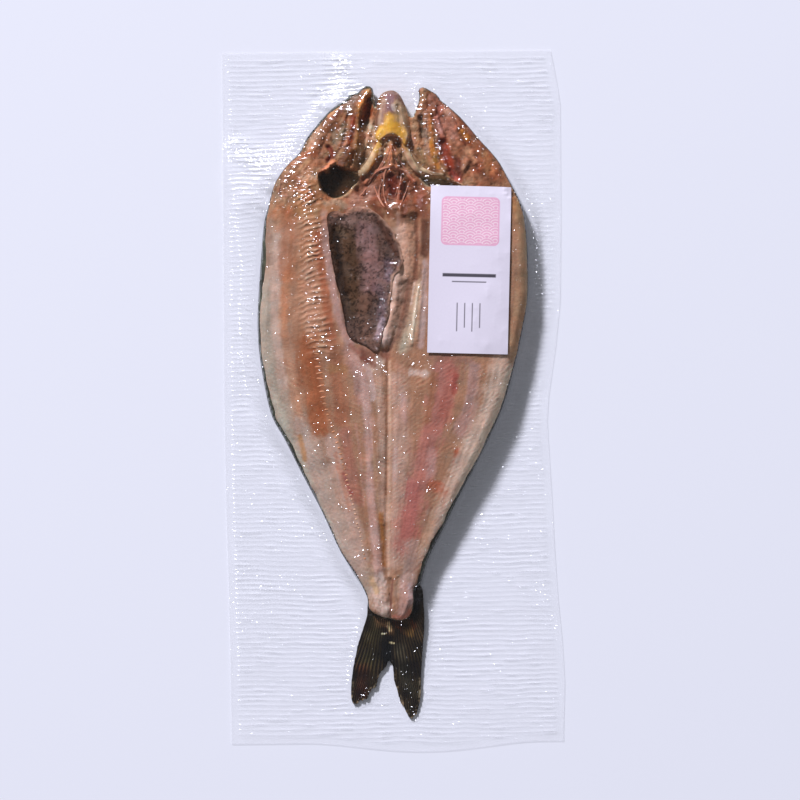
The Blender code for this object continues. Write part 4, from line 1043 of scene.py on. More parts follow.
# each arch is its line's points, its radii and its lifts, all from front to back
ARCHES = [
    (
        [(-4.8, 138.7), (-6.5, 134.5), (-8.6, 129.8), (-11.3, 125.1), (-14.5, 120.9), (-17.1, 118.3)],
        [0.6, 1.9, 2.4, 2.4, 2.3, 2.6, 1.0], [-0.6, 0.5, 0.6, 0.3, -0.4],
    ),
    (
        [(5.7, 138), (7.2, 133.3), (9.3, 128), (12.4, 122.7), (16.5, 119)],
        [0.5, 1.7, 2.1, 2.2, 2.0, 0.8], [-0.6, 0.5, 0.5, 0.2, -0.6],
    ),
    (
        [(9.3, 132.7), (11.9, 127.4), (15.5, 122.1), (21.3, 119.5), (27.6, 118.3)],
        [0.4, 1.1, 1.3, 1.2, 0.6], [-0.3, 0.5, 0.8, 1.2, 0.8],
    ),
    ([(-13.4, 122.5), (-17.1, 120.4), (-20.8, 120.9)], [0.5, 1.3, 0.4], [0.0, 0.4, 0.2]),
]  # fmt: skip
ARCH_SLIMNESS, ARCH_SIDES, ARCH_FLATNESS = 0.85, 14, 0.5
ARCH_BASE = (190, 160, 134)
tubes = []
for line, radii, lift in ARCHES:
    path = lying_on_flesh(line, lift)
    tubes.append(swept_tube(path, ARCH_SLIMNESS * spread(radii, len(path)), ARCH_SIDES, ARCH_FLATNESS))
gill_arches = joined_piece("gill_arches", tubes)
x, y, z = coordinates(gill_arches)
ARCH_STROKES = [
    ([(-4.3, 135.5), (-6.5, 130.3), (-9.2, 125), (-11.9, 120.3)], 1.9, (190, 126, 66), 0.9),
    ([(-5.9, 137.1), (-7.5, 132.4)], 2.6, (206, 154, 66), 0.8),
    ([(5.7, 137), (7.2, 132.2)], 2.6, (150, 100, 36), 0.85),
    ([(6.7, 131.7), (9.2, 126.4), (12.9, 121.1)], 1.4, (180, 134, 116), 0.8),
    ([(10.8, 129.6), (15, 122.7)], 1.0, (118, 84, 64), 0.8),
    ([(20.2, 120), (27.6, 118.3)], 2.0, (92, 68, 46), 0.8),
]
arch_tint = brushed(x, y, ARCH_BASE, ARCH_STROKES, 1100)
arch_tint *= (1 + 0.35 * mottle(x, y, 2.0, 1160))[:, None]
colour_points(gill_arches, speckled(x, y, arch_tint, 1150))
arches_finish = moist_material("gristle", roughness=0.4, coat=0.12, bump_mm=0.1, grain_mm=0.9)
gill_arches.data.materials.append(arches_finish)
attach(gill_arches, "root")

STRANDS = [
    [(-0.2, 133.9), (-2.8, 127.6), (-6.6, 120.8), (-10.9, 114.5)],
    [(0.9, 133.9), (3.5, 128.1), (7.1, 121.7), (10.7, 116.9)],
    [(0.1, 131.8), (-1.3, 125), (-4, 118.1), (-4.1, 108.7), (-2.1, 101.3)],
    [(0.6, 131.8), (2.4, 125.4), (5, 119.1), (3.8, 110.7), (2.2, 103.3)],
    [(-12.5, 114), (-8.2, 120.3), (0.3, 122.8), (7.6, 120.1), (11.8, 115.3)],
    [(-9.3, 112.9), (-6.2, 105.5), (-2.1, 98.1)],
    [(9.7, 115.9), (6.9, 108.6), (4.2, 101.2)],
    [(-13.5, 111.9), (-16.7, 107.8), (-22, 104.1)],
    [(-5.1, 116), (-6.7, 108.7), (-5.2, 102.4)],
    [(6.5, 117), (3.8, 112.8), (1.7, 107.6)],
    [(-1.8, 130.7), (-6, 123.4), (-9.3, 118.2)],
    [(2.4, 130.7), (5.5, 124.4), (9.2, 119.6)],
]
STRAND_LIFT, STRAND_RADII = [0.1, 0.12, -0.1], [0.25, 0.5, 0.25]
STRAND_SIDES, STRAND_FLATNESS = 8, 0.7
STRAND_BASE = (176, 118, 102)
tubes = []
for number, line in enumerate(STRANDS):
    path = lying_on_flesh(line, STRAND_LIFT)
    thickness = 0.7 + 0.5 * (number % 3) / 2
    radii = thickness * spread(STRAND_RADII, len(path))
    tubes.append(swept_tube(path, radii, STRAND_SIDES, STRAND_FLATNESS))
throat_strands = joined_piece("throat_strands", tubes)
x, y, z = coordinates(throat_strands)
colour_points(throat_strands, speckled(x, y, brushed(x, y, STRAND_BASE, [], 1200), 1250))
strands_finish = moist_material("wet_strands", roughness=0.3, coat=0.2, bump_mm=0.08, grain_mm=0.7)
throat_strands.data.materials.append(strands_finish)
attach(throat_strands, "root")


# --------------------------------------------------------------------------------------------------
# Belly lining: the thin dark membrane left in the empty belly, speckled black over mauve. It dried on the
# flesh, with two folds and many wrinkles, its edge is pale where torn, and along its left side it carries
# a painted shadow of the belly's wall.

LINING = [
    (-34, 95.8), (-32.6, 99), (-29.4, 100), (-25.8, 98.4), (-22.1, 101), (-16.8, 102.2), (-11, 100.6),
    (-5.3, 96.1), (-0.1, 89.7), (3.5, 81.8), (5.3, 73.9), (4.4, 68.6), (0.7, 65.5), (-0.7, 58.1),
    (-1.8, 50.3), (-2.7, 43.4), (-5.1, 37.1), (-6.8, 30.3), (-9.2, 25.6), (-14.4, 28.6), (-19.6, 31),
    (-23.3, 33.4), (-25.3, 40.8), (-27.3, 52.9), (-29.6, 62.1), (-31.8, 74.2), (-33.3, 84.8),
]  # fmt: skip
LINING_STEP, LINING_FLOOR = 0.45, 2.2
LINING_LIFT = 0.75
LINING_FOLDS = [
    ([(-6.4, 94), (-1.2, 84.4), (2.4, 76)], 0.9, 1.8),
    ([(-13, 58.3), (-7.8, 53), (-4.8, 43.5), (-9.1, 34.6)], 0.8, 1.6),
]
LINING_BASE, TORN_RIM, WALL_SHADOW = (96, 74, 70), (172, 134, 122), (44, 28, 22)


def lining_height(x, y):
    """The belly's floor and the membrane on it, whose wrinkles and folds fade out towards its edge."""
    relief = 0.30 * mottle(x, 0.5 * y, 3.2, 81) + 0.20 * mottle(x + 0.4 * y, y, 1.8, 82)
    for line, height, reach in LINING_FOLDS:
        relief = relief + height * hump(distance_to(x, y, smooth_line(line, 2)), reach)
    return flesh_height(x, y) + LINING_LIFT + relief * ease(depth_inside(x, y, lining_edge) / 2)


lining_edge = smooth_line(LINING, 0.8, closed=True)
lining_edge += 0.35 * np.column_stack([mottle(*lining_edge.T, 2, 84), mottle(*lining_edge.T, 2, 85)])
belly_lining = cut_sheet("belly_lining", lining_edge, LINING_STEP, lining_height, LINING_FLOOR)
x, y, z = coordinates(belly_lining)
LINING_STROKES = [
    ([(-26.4, 87.3), (-22.9, 68.9), (-19.5, 47.8)], 8, (82, 62, 50), 0.9),
    ([(-13.8, 90.9), (-11.3, 75.1), (-9.9, 60.9)], 7.5, (134, 102, 104), 0.88),
    ([(-24.8, 94.2), (-18.9, 97.3), (-11.6, 96.1)], 4, (138, 108, 104), 0.75),
    ([(-32.1, 98.4), (-25.8, 98.4), (-18.9, 100.9), (-11.6, 100.3)], 2.0, (188, 140, 128), 0.8),
    ([(-30.6, 91.1), (-28.6, 75.3), (-25.2, 57.3)], 3.6, (50, 34, 26), 0.8),
    ([(-28.5, 91), (-24.8, 86.8)], 2.2, (106, 84, 72), 0.6),
    ([(-15.2, 53), (-16.4, 41.5), (-13.8, 33)], 5.5, (110, 82, 74), 0.85),
    ([(-8.8, 59.3), (-5.2, 52.9), (-6.9, 43.5)], 3.4, (104, 84, 94), 0.6),
    ([(-6.4, 94), (-1.2, 84.4), (2.4, 76)], 2.4, (86, 60, 54), 0.85),
    ([(-2.4, 72.9), (-2.5, 63.4)], 3.0, (104, 82, 94), 0.7),
    ([(-5.3, 42.4), (-8.6, 33)], 2.0, (158, 136, 150), 0.7),
    ([(0.3, 72.9), (2.9, 69.7)], 2.4, (100, 68, 62), 0.7),
]  # fmt: skip
lining_tint = brushed(x, y, LINING_BASE, LINING_STROKES, 1300)
dots = mottle(x, y, 0.6, 86) + 0.7 * mottle(x, y, 1.3, 87) + 0.4 * mottle(x, y, 5, 88)
lining_tint *= 1 - 0.62 * ease((dots - 0.05) / 0.6)[:, None]
from_rim = depth_inside(x, y, lining_edge)
torn_rim = ease((1.9 - from_rim + 0.9 * mottle(x, y, 2.5, 89)) / 1.8)
torn_rim *= np.maximum(ease((x + 0.35 * y - 12) / 8), ease((y - 92) / 6))
lining_tint = laid_over(lining_tint, albedo(*TORN_RIM), 0.75 * torn_rim)
# a painted shadow that the belly's left wall throws on the lining's left edge
wall_shadow = ease((1.1 - from_rim) / 0.8) * ease((-16 - x + 0.3 * (60 - y)) / 6)
lining_tint = laid_over(lining_tint, albedo(*WALL_SHADOW), 0.75 * wall_shadow)
colour_points(belly_lining, speckled(x, y, lining_tint, 1350))
lining_finish = moist_material("belly_membrane", roughness=0.4, coat=0.1, bump_mm=0.2, grain_mm=0.8)
belly_lining.data.materials.append(lining_finish)
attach(belly_lining, "root")


# --------------------------------------------------------------------------------------------------
# Backbone's row: the stubs of the small bones that the knife left along the left fillet, one short pale
# bar after another, set crosswise in the red muscle. Each is a small rounded bar of a few faces.

BACKBONE = [(-41, 32), (-39.2, 15), (-35.2, -5), (-28.6, -27), (-22.6, -52), (-18, -73), (-16, -84)]
STUB_HALF_LENGTHS = [(32, 2.6), (10, 2.2), (-5, 1.3), (-30, 0.9), (-84, 0.7)]  # down the fish
STUB_RADII = [0.12, 0.45, 0.6, 0.45, 0.12]
STUB_BASE = (196, 134, 106)
STUB_STROKES = [([(-31.4, -33.6), (-17.6, -75.8)], 6, (206, 168, 150), 0.8)]
STUB_PITCHES = np.linspace(3.5, 2.1, 46)  # closer together towards the tail
STUB_PATH_STEP = 0.5
stub_path = smooth_line(BACKBONE, STUB_PATH_STEP)
run = np.concatenate([[0], np.cumsum(STUB_PITCHES)])
run = run[run < STUB_PATH_STEP * (len(stub_path) - 1)]
stations = STUB_PATH_STEP * np.arange(len(stub_path))
stub_line = np.column_stack([np.interp(run, stations, stub_path[:, k]) for k in range(2)])
heading = np.gradient(stub_line, axis=0)
heading /= np.linalg.norm(heading, axis=1)[:, None]
sideways = np.column_stack([heading[:, 1], -heading[:, 0]])
chance = np.random.default_rng(5)
tubes = []
for centre, side in zip(stub_line, sideways):
    half = along_fish(centre[1], STUB_HALF_LENGTHS) * chance.uniform(0.7, 1.2)
    tilt = np.array([side[0], side[1] + chance.uniform(-0.1, 0.35)])
    centre = centre + chance.uniform(-0.25, 0.25, 2)
    ends = centre + np.linspace(-half, half, 5)[:, None] * tilt
    level = flesh_height(ends[:, 0], ends[:, 1]) - 0.05
    path = np.column_stack([ends, 0.5 * level + 0.5 * level.mean()])
    tubes.append(swept_tube(path, STUB_RADII, 6, 0.4))
bone_stubs = joined_piece("bone_stubs", tubes)
x, y, z = coordinates(bone_stubs)
colour_points(bone_stubs, speckled(x, y, brushed(x, y, STUB_BASE, STUB_STROKES, 1400), 1450))
stubs_finish = moist_material("bone", roughness=0.3, coat=0.3, bump_mm=0.05, grain_mm=0.6)
bone_stubs.data.materials.append(stubs_finish)
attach(bone_stubs, "root")


# --------------------------------------------------------------------------------------------------
# Vacuum bag: two plies of clear film, welded round the edge and sucked tight on the fish. The upper ply
# is embossed with fine ribs, the channels that let the air out, and the welded band round it is plain.

BAG_LEFT = [
    (-89.2, 185.5), (-89.3, 160.1), (-89.5, 107.1), (-89.8, 38.3), (-90, 1.2), (-89.8, -25.3),
    (-89.4, -62.4), (-88.5, -104.7), (-88.1, -147.1), (-88, -182.1),
]  # fmt: skip
BAG_RIGHT = [
    (84.8, 184.8), (87.8, 168.8), (89.6, 156.1), (89.3, 94.7), (88.5, 52.3), (86.1, 30.1), (81.9, 2.1),
    (80.9, -11.2), (82, -32.4), (83.1, -53.6), (84.2, -80.1), (85.8, -106.6), (87.7, -127.8),
    (88.8, -149), (87.9, -180.8),
]  # fmt: skip
BAG_HALF_LENGTH = 1000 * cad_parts["bag"].dimensions.y / 2
BAG_TOP = BAG_HALF_LENGTH - 1.2
BAG_FOOT = -BAG_HALF_LENGTH
FOOT_X, FOOT_RISE, FOOT_HALF = 14.0, 5.0, 62.0
FILM_CELL, FILM_GRID_HALF_WIDTH = 1.2, 92
FILM_GAP = 0.45  # between the film and what it lies on
FILM_ON_TABLE, FILM_ON_EDGE = 0.75, 3.0
FILM_START, FILM_SPAN = 14.0, 32  # its height before it sags, out to this far from the fish
FILM_PULL, TENT_PULL, FISH_PULL = 0.16, 0.02, 0.05  # how hard it is sucked down
TENTS = [(-62, 122, 60), (-15, 165, 30)]  # where it stands off the fish: x, y and reach
FILM_ROUNDS = 900
FILM_ROWS, FILM_COLUMNS = 860, 106
RIB_SPACING, RIB_HEIGHT = 2.55, 0.22
LEAST_HAZE = 0.004
FACET_LEAN = (-0.283, 0.490)  # the small flat creases lean towards the head and a little left
FACET_SWAY = 0.5
WELD_WIDTH = 3.0
LOWER_FILM_Z = 0.12


def film_side(y, stations):
    """Where one of the bag's long edges lies at a height, by straight lines between its stations."""
    return along_fish(y, [(v, u) for u, v in stations])


def foot_rise(x):
    """How far the foot's edge lies above its lowest place."""
    return FOOT_RISE * (1 - hump((x - FOOT_X) / FOOT_HALF, 1.0))


def grid_rim(number):
    """The numbers of a grid's border points, one after another round it."""
    return np.concatenate([number[0], number[1:, -1], number[-1, -2::-1], number[-2:0:-1, 0]])


def blurred(z):
    """Each cell's height as the mean of its four neighbours', with the border held."""
    mean = z.copy()
    mean[1:-1, 1:-1] = (z[:-2, 1:-1] + z[2:, 1:-1] + z[1:-1, :-2] + z[1:-1, 2:]) / 4
    return mean


def sampled(z, x, y):
    """A height grid read at any points, by straight lines between its own."""
    u = np.clip((x - film_x[0]) / FILM_CELL, 0, len(film_x) - 1.001)
    v = np.clip((y - film_y[0]) / FILM_CELL, 0, len(film_y) - 1.001)
    i, j = u.astype(int), v.astype(int)
    s, t = u - i, v - j
    low = z[j, i] * (1 - s) + z[j, i + 1] * s
    high = z[j + 1, i] * (1 - s) + z[j + 1, i + 1] * s
    return low * (1 - t) + high * t


film_x = np.arange(-FILM_GRID_HALF_WIDTH, FILM_GRID_HALF_WIDTH, FILM_CELL)
film_y = np.arange(BAG_FOOT - FILM_CELL, BAG_TOP + 2 * FILM_CELL, FILM_CELL)
grid_x, grid_y = np.meshgrid(film_x, film_y)
inside_fish = depth_inside(grid_x, grid_y, fish_edge)
in_tail = depth_inside(grid_x, grid_y, tail_edge)
in_chin = depth_inside(grid_x, grid_y, chin_edge)
over_flesh = np.maximum(flesh_height(grid_x, grid_y) + FILM_GAP, FILM_ON_EDGE)
support = np.where(inside_fish > -0.7, over_flesh, FILM_ON_TABLE)
for inside, margin, height in ((in_tail, -0.5, tail_height), (in_chin, 0, jaw_height)):
    over_piece = np.maximum(support, height(grid_x, grid_y) + FILM_GAP)
    support = np.where(inside > margin, over_piece, support)
near_fish = np.maximum(inside_fish, in_tail)
film_z = np.where(near_fish > -FILM_SPAN, np.maximum(support, FILM_START), support)
tent = sum(hump(np.hypot(grid_x - u, grid_y - v), reach) for u, v, reach in TENTS)
pull = FILM_PULL + (TENT_PULL - FILM_PULL) * np.clip(1.6 * tent, 0, 1)
pull = np.where(near_fish > 0, FISH_PULL, pull)
for _ in range(FILM_ROUNDS):
    film_z = np.maximum(blurred(film_z) - pull * FILM_CELL**2 / 4, support)

rows = np.linspace(BAG_FOOT, BAG_TOP, FILM_ROWS)[:, None]
shares = np.linspace(0, 1, FILM_COLUMNS)[None, :]
left_side, right_side = film_side(rows, BAG_LEFT), film_side(rows, BAG_RIGHT)
x = left_side + (right_side - left_side) * shares
y = rows + 0 * x
foot = foot_rise(x)
y = y + foot * ease((y - BAG_FOOT - 30) / -25)
from_sides = np.minimum(x - left_side, right_side - x)
from_edge = np.minimum(from_sides, np.minimum(BAG_TOP - y, y - BAG_FOOT - foot))
inside = np.maximum(depth_inside(x, y, fish_edge), depth_inside(x, y, tail_edge))
clear_of_fish = ease((-inside - 0.5) / 4)
in_panel = ease((from_edge - WELD_WIDTH) / 1.0)
bend = y + 1.0 * mottle(x, y, 38, 91) + 0.35 * mottle(x, y, 9, 92) + 0.28 * mottle(0.6 * x, 2 * y, 4, 97)
ribs = (0.5 + 0.5 * np.cos(2 * np.pi * bend / RIB_SPACING)) * in_panel
uneven = np.clip(0.75 + 0.35 * mottle(x, y, 16, 93) + 0.35 * mottle(x, 3 * y, 6, 98), 0.15, 1.4)
emboss = RIB_HEIGHT * ribs * uneven * (0.08 + 0.92 * clear_of_fish)
slack = (0.35 * mottle(x, 2.2 * y, 26, 94) + 0.12 * mottle(x, y, 6, 95)) * clear_of_fish
film_top = sampled(film_z, x, y) + emboss + np.maximum(slack, -0.3) * ease(from_edge / 6)
points = np.column_stack([x.ravel(), y.ravel(), film_top.ravel()])
number = np.arange(x.size).reshape(x.shape)
quads = grid_squares(number).reshape(-1, 4)
rim = grid_rim(number)
lower = points[rim] * (1, 1, 0) + (0, 0, LOWER_FILM_Z)
below = np.arange(len(rim)) + len(points)
side_walls = np.column_stack([rim, below, np.roll(below, -1), np.roll(rim, -1)])
faces = quads.tolist() + side_walls.tolist() + [below[::-1].tolist()]
bag_film = linked_piece("bag_film", np.vstack([points, lower]), faces, 60)

# where the film is finely crinkled, and where it is made milky as a painted glare: points, reach and
# strength
CRINKLES = [
    ([(71.7, 108.9), (75.6, 86.3), (76.4, 62.6), (74, 28.4)], 5.5, 1.0),
    ([(-83.8, 136.9), (-68.1, 127.2), (-55.9, 132.4)], 9, 1.7),
    ([(-68.3, 106.2), (-72.3, 79.9), (-75.2, 53.7)], 4, 0.5),
    ([(-34.1, 161.6), (-27.7, 168.9), (-26.5, 180.5)], 8, 1.8),
    ([(-81.9, -88.3), (-70.5, -100)], 10, 0.7),
    ([(-71.6, -9.5), (-67.6, -25.3)], 5, 0.7),
    ([(75.7, -105.7), (85, -120.6)], 8, 0.8),
    ([(63.5, -21.4), (78.9, -53.2)], 9, 0.5),
    ([(57.4, 157.5), (67.8, 146.8)], 6, 0.5),
    ([(-23.7, -158.4), (-17.4, -156.3), (-13.1, -152.2)], 3.5, 1.1),
    ([(3.7, -152.3), (6.8, -160.8), (8.8, -168.2)], 3.5, 1.1),
    ([(-3.2, 93.9), (0.3, 72.9), (-2.6, 52.9), (-7, 31.9)], 2.6, 0.95),
    ([(-20.4, 159.3), (-32.1, 148.9), (-40.6, 136.4), (-48.1, 127)], 2.4, 0.85),
    ([(-12, 158.2), (-15.3, 139.8)], 2.0, 0.9),
    ([(-10.4, 106.6), (0.2, 117), (10.6, 107.5)], 4.5, 0.85),
    ([(27.7, 131.5), (37, 116.7)], 3.5, 0.9),
    ([(21.1, 154.7), (23.6, 139.4), (27.6, 122)], 3.6, 1.25),
    ([(25.9, 156.8), (37.3, 143), (48.7, 128.1)], 3.8, 1.15),
    ([(-18.8, 15.2), (-10.3, 22.5), (-4, 14)], 3.4, 1.1),
    ([(3.4, 25.5), (11.8, 19.1), (20.2, 17.9)], 3.0, 1.0),
    ([(14.3, 60.1), (11, 43.3), (8.7, 28.6)], 1.2, 1.3),
]  # fmt: skip
GLARES = [
    ([(-27.5, 181.5), (-26.6, 169.9), (-36.2, 159.5)], 12, 0.55),
    ([(-83.8, 136.9), (-68.1, 123), (-74.6, 108.4)], 11, 0.4),
    ([(41.9, 178.7), (68.1, 173.1), (78.5, 159.9)], 12, 0.10),
    ([(-81.9, -88.3), (-70.5, -100)], 10, 0.14),
    ([(12, -160.3), (17.1, -173.5)], 10, 0.10),
]  # fmt: skip
over_fish = 1 - clear_of_fish
torn_share = (0.24 + 0.2 * mottle(x, y, 6, 102)) * ease((y - 90) / 15)
crinkle = 0.42 + over_fish * torn_share + 0.15 * mottle(x, y, 12, 99)
crinkle = crinkle + 0.36 * rib_bank_share(x, y) * over_fish
crinkle = np.maximum(crinkle, 0.95 * rib_bank_share(x, y))
for line, reach, strength in CRINKLES:
    crinkle = np.maximum(crinkle, strength * hump(distance_to(x, y, smooth_line(line, 2)), 1.3 * reach))
crinkle = crinkle * (1 - 0.7 * hump(np.hypot(x + 30, y - 116), 12))
streaky = np.clip(0.5 + 0.7 * mottle(x, 3 * y, 7, 100) + 0.4 * mottle(x, 2 * y, 2.4, 101), 0, 1)
streaky = streaky * clear_of_fish
haze_and_glare = LEAST_HAZE + 0 * x
# painted glare: the film made milkier in streaky patches
for line, reach, strength in GLARES:
    haze_and_glare = haze_and_glare + strength * hump(distance_to(x, y, smooth_line(line, 2)), reach) * streaky
haze_and_glare = haze_and_glare + clear_of_fish * (0.10 + 0.025 * mottle(x, y, 14, 96) + 0.05 * ribs)
# milky dashes on the ribs' crests: painted glints
glint_dashes = 1.6 * mottle(0.45 * x, 2.2 * y, 3.0, 103) + 0.5 * mottle(x, y, 30, 104) - 0.25
haze_and_glare = haze_and_glare + 0.22 * ribs**3 * np.clip(glint_dashes, 0, 1) * clear_of_fish
beside_left = hump(depth_inside(x, y, fish_edge) + 8, 9.0) * ease((10 - y) / 12) * (x < 0)
rib_gloss = (0.30 + 0.30 * np.clip(uneven, 0, 1)) * (0.25 + 0.75 * clear_of_fish) * in_panel
rib_gloss = rib_gloss * (1 - 0.8 * beside_left)
film_values = np.column_stack([haze_and_glare.ravel(), rib_gloss.ravel(), crinkle.ravel()])
colour_points(bag_film, np.vstack([film_values, np.tile((0.01, 0.0, 0.0), (len(rim), 1))]), "film")
bend_layer = bag_film.data.attributes.new("bend", "FLOAT", "POINT")
bend_layer.data.foreach_set("value", np.concatenate([bend.ravel(), bend.ravel()[rim]]).astype(np.float32))


def film_material(name):
    """Clear film: light goes straight through but for a milky share, set by the points, about half of it
    thrown back and half let on. Over that lies a mirror gloss that grows towards grazing angles. Its
    normal follows the ribs' crests, and on the sparse small creases it leans one way."""
    material = bpy.data.materials.new(name)
    material.use_nodes = True
    nodes = material.node_tree.nodes
    nodes.remove(nodes["Principled BSDF"])

    def node(kind, inputs, **settings):
        """One more node of this film."""
        return shader_node(material, kind, inputs, **settings)

    def worked_out(operation, first, second=0.0, **settings):
        """One sum; each side is a number or another node's output."""
        return node("Math", {0: first, 1: second}, operation=operation, **settings).outputs["Value"]

    values = node("Attribute", {}, attribute_name="film")
    parts = node("SeparateColor", {"Color": values.outputs["Color"]})
    # the red share is the film's own milkiness, raised in places as painted glare and glints
    milkiness_and_glare, rib_relief, creasing = (parts.outputs[part] for part in ("Red", "Green", "Blue"))

    bend = node("Attribute", {}, attribute_name="bend").outputs["Fac"]
    wave = worked_out("COSINE", worked_out("MULTIPLY", bend, 2 * math.pi / RIB_SPACING))
    wave = worked_out("ADD", worked_out("MULTIPLY", wave, 0.5), 0.5)
    crest = worked_out("MULTIPLY", worked_out("POWER", wave, 2.0), rib_relief)
    ribbed = node("Bump", {"Height": crest, "Strength": 1.0, "Distance": MM}).outputs["Normal"]

    place = node("TexCoord", {}).outputs["Object"]
    drawn_out = node("Mapping", {"Vector": place, "Scale": (0.6, 1.3, 1.0)}).outputs["Vector"]
    grain = node("TexNoise", {"Vector": drawn_out, "Scale": 1150.0, "Detail": 1.0}).outputs["Fac"]
    creased_grain = worked_out("ADD", grain, worked_out("MULTIPLY", creasing, 0.145))
    limits = {"Value": creased_grain, "From Min": 0.80, "From Max": 0.83}
    facets = node("MapRange", limits, interpolation_type="SMOOTHSTEP").outputs["Result"]
    sway = node("TexNoise", {"Vector": place, "Scale": 800.0}).outputs["Color"]
    least = (FACET_LEAN[0] - FACET_SWAY / 2, FACET_LEAN[1] - FACET_SWAY / 2, 1.0)
    swayed = {0: sway, 1: (FACET_SWAY, FACET_SWAY, 0.0), 2: least}
    lean = node("VectorMath", swayed, operation="MULTIPLY_ADD").outputs["Vector"]
    leaning = node("Mix", {0: facets, 4: ribbed, 5: lean}, data_type="VECTOR").outputs[1]
    gloss_normal = node("VectorMath", {0: leaning}, operation="NORMALIZE").outputs["Vector"]

    clear = node("BsdfTransparent", {"Color": (1, 1, 1, 1)}).outputs["BSDF"]
    white = {"Color": (0.99, 0.99, 0.99, 1), "Normal": ribbed}
    thrown_back = node("BsdfDiffuse", white).outputs["BSDF"]
    let_on = node("BsdfTranslucent", white).outputs["BSDF"]
    milky = node("MixShader", {"Fac": 0.45, 1: thrown_back, 2: let_on}).outputs["Shader"]
    body = node("MixShader", {"Fac": milkiness_and_glare, 1: clear, 2: milky}).outputs["Shader"]

    mirror = {"Color": (1, 1, 1, 1), "Roughness": 0.12, "Normal": gloss_normal}
    gloss = node("BsdfGlossy", mirror).outputs["BSDF"]
    facing = node("LayerWeight", {"Blend": 0.5}).outputs["Facing"]
    grazing = {"Value": worked_out("POWER", facing, 5.0), "To Min": 0.026, "To Max": 0.9}
    edge_gloss = node("MapRange", grazing).outputs["Result"]
    upper_sheet = worked_out("MULTIPLY", creasing, 8.0, use_clamp=True)
    gloss_share = worked_out("MULTIPLY", edge_gloss, upper_sheet)
    whole = node("MixShader", {"Fac": gloss_share, 1: body, 2: gloss}).outputs["Shader"]
    material.node_tree.links.new(whole, nodes["Material Output"].inputs["Surface"])
    return material


bag_film.data.materials.append(film_material("clear_embossed_film"))
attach(bag_film, "root")
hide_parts("bag")


# --------------------------------------------------------------------------------------------------
# Label: coated white paper stuck on the bag over the right fillet. It spans what the film sinks into, and
# its print is plain: a pink panel of overlapping waves, a dark bar and a few fine rules.

LABEL_WIDTH, LABEL_LENGTH = 42.3, 88.0
LABEL_COLUMNS, LABEL_ROWS = 161, 333
LABEL_X, LABEL_Y = 40.3, 68.2
LABEL_TURN = math.radians(-1.9)
LABEL_THICKNESS, LABEL_GAP = 0.18, 0.35
LABEL_STIFFNESS = 160
PAPER, INK, GREY = (222, 216, 246), (40, 36, 48), (70, 64, 78)
PINK, WAVE_LINE = (226, 168, 208), (240, 218, 240)
PANEL_LOW, PANEL_HIGH, PANEL_HALF_WIDTH, PANEL_CORNER = 12.5, 38.5, 15.5, 3.0
WAVE_RADIUS, WAVE_ROWS = 4.4, range(-1, 14)
WAVE_RINGS, RING_HALF_WIDTH = (0.36, 0.68, 0.98), 0.085  # as shares of the wave's radius
# each bar is its centre's two places, its half width and half height, its colour and its strength
BARS = [
    (0.0, -3.0, 14.0, 0.9, INK, 0.92), (0.0, -6.4, 9.0, 0.3, INK, 0.85),
    (-6.0, -25.0, 0.28, 7.5, GREY, 0.85), (-2.0, -24.0, 0.28, 6.5, GREY, 0.85),
    (2.0, -25.0, 0.28, 7.5, GREY, 0.85), (6.0, -24.0, 0.28, 6.5, GREY, 0.85),
]

stiff = film_z
for _ in range(LABEL_STIFFNESS):
    stiff = np.maximum(blurred(stiff), film_z)
u, v = np.meshgrid(
    np.linspace(-LABEL_WIDTH / 2, LABEL_WIDTH / 2, LABEL_COLUMNS),
    np.linspace(-LABEL_LENGTH / 2, LABEL_LENGTH / 2, LABEL_ROWS),
)
x = LABEL_X + u * math.cos(LABEL_TURN) - v * math.sin(LABEL_TURN)
y = LABEL_Y + u * math.sin(LABEL_TURN) + v * math.cos(LABEL_TURN)
level = sampled(stiff, x, y) + LABEL_GAP
face = np.column_stack([x.ravel(), y.ravel(), (level + LABEL_THICKNESS).ravel()])
back = np.column_stack([x.ravel(), y.ravel(), level.ravel()])
number = np.arange(x.size).reshape(x.shape)
quads = grid_squares(number).reshape(-1, 4)
rim = grid_rim(number)
side_walls = np.column_stack([rim, rim + x.size, np.roll(rim, -1) + x.size, np.roll(rim, -1)])
faces = np.vstack([quads, quads[:, ::-1] + x.size, side_walls]).tolist()
paper_label = linked_piece("paper_label", np.concatenate([face, back]), faces, 40)


def wave_print(u, v):
    """Overlapping waves, a traditional pattern: rows of concentric rings, each row half a wave across and
    a quarter of one up, the lower row on top; 1 where the distance to a centre nears a ring's."""
    pale = np.zeros(u.shape)
    taken = np.zeros(u.shape, bool)
    for row in WAVE_ROWS:
        centre_v = PANEL_LOW - WAVE_RADIUS + row * WAVE_RADIUS / 2
        shift = WAVE_RADIUS * (row % 2)
        centre_u = np.round((u - shift) / (2 * WAVE_RADIUS)) * 2 * WAVE_RADIUS + shift
        away = np.hypot(u - centre_u, v - centre_v) / WAVE_RADIUS
        mine = (away < 1) & ~taken
        rings = np.min([np.abs(away - ring) for ring in WAVE_RINGS], axis=0)
        pale = np.where(mine, ease((RING_HALF_WIDTH - rings) / 0.05), pale)
        taken |= mine
    return pale


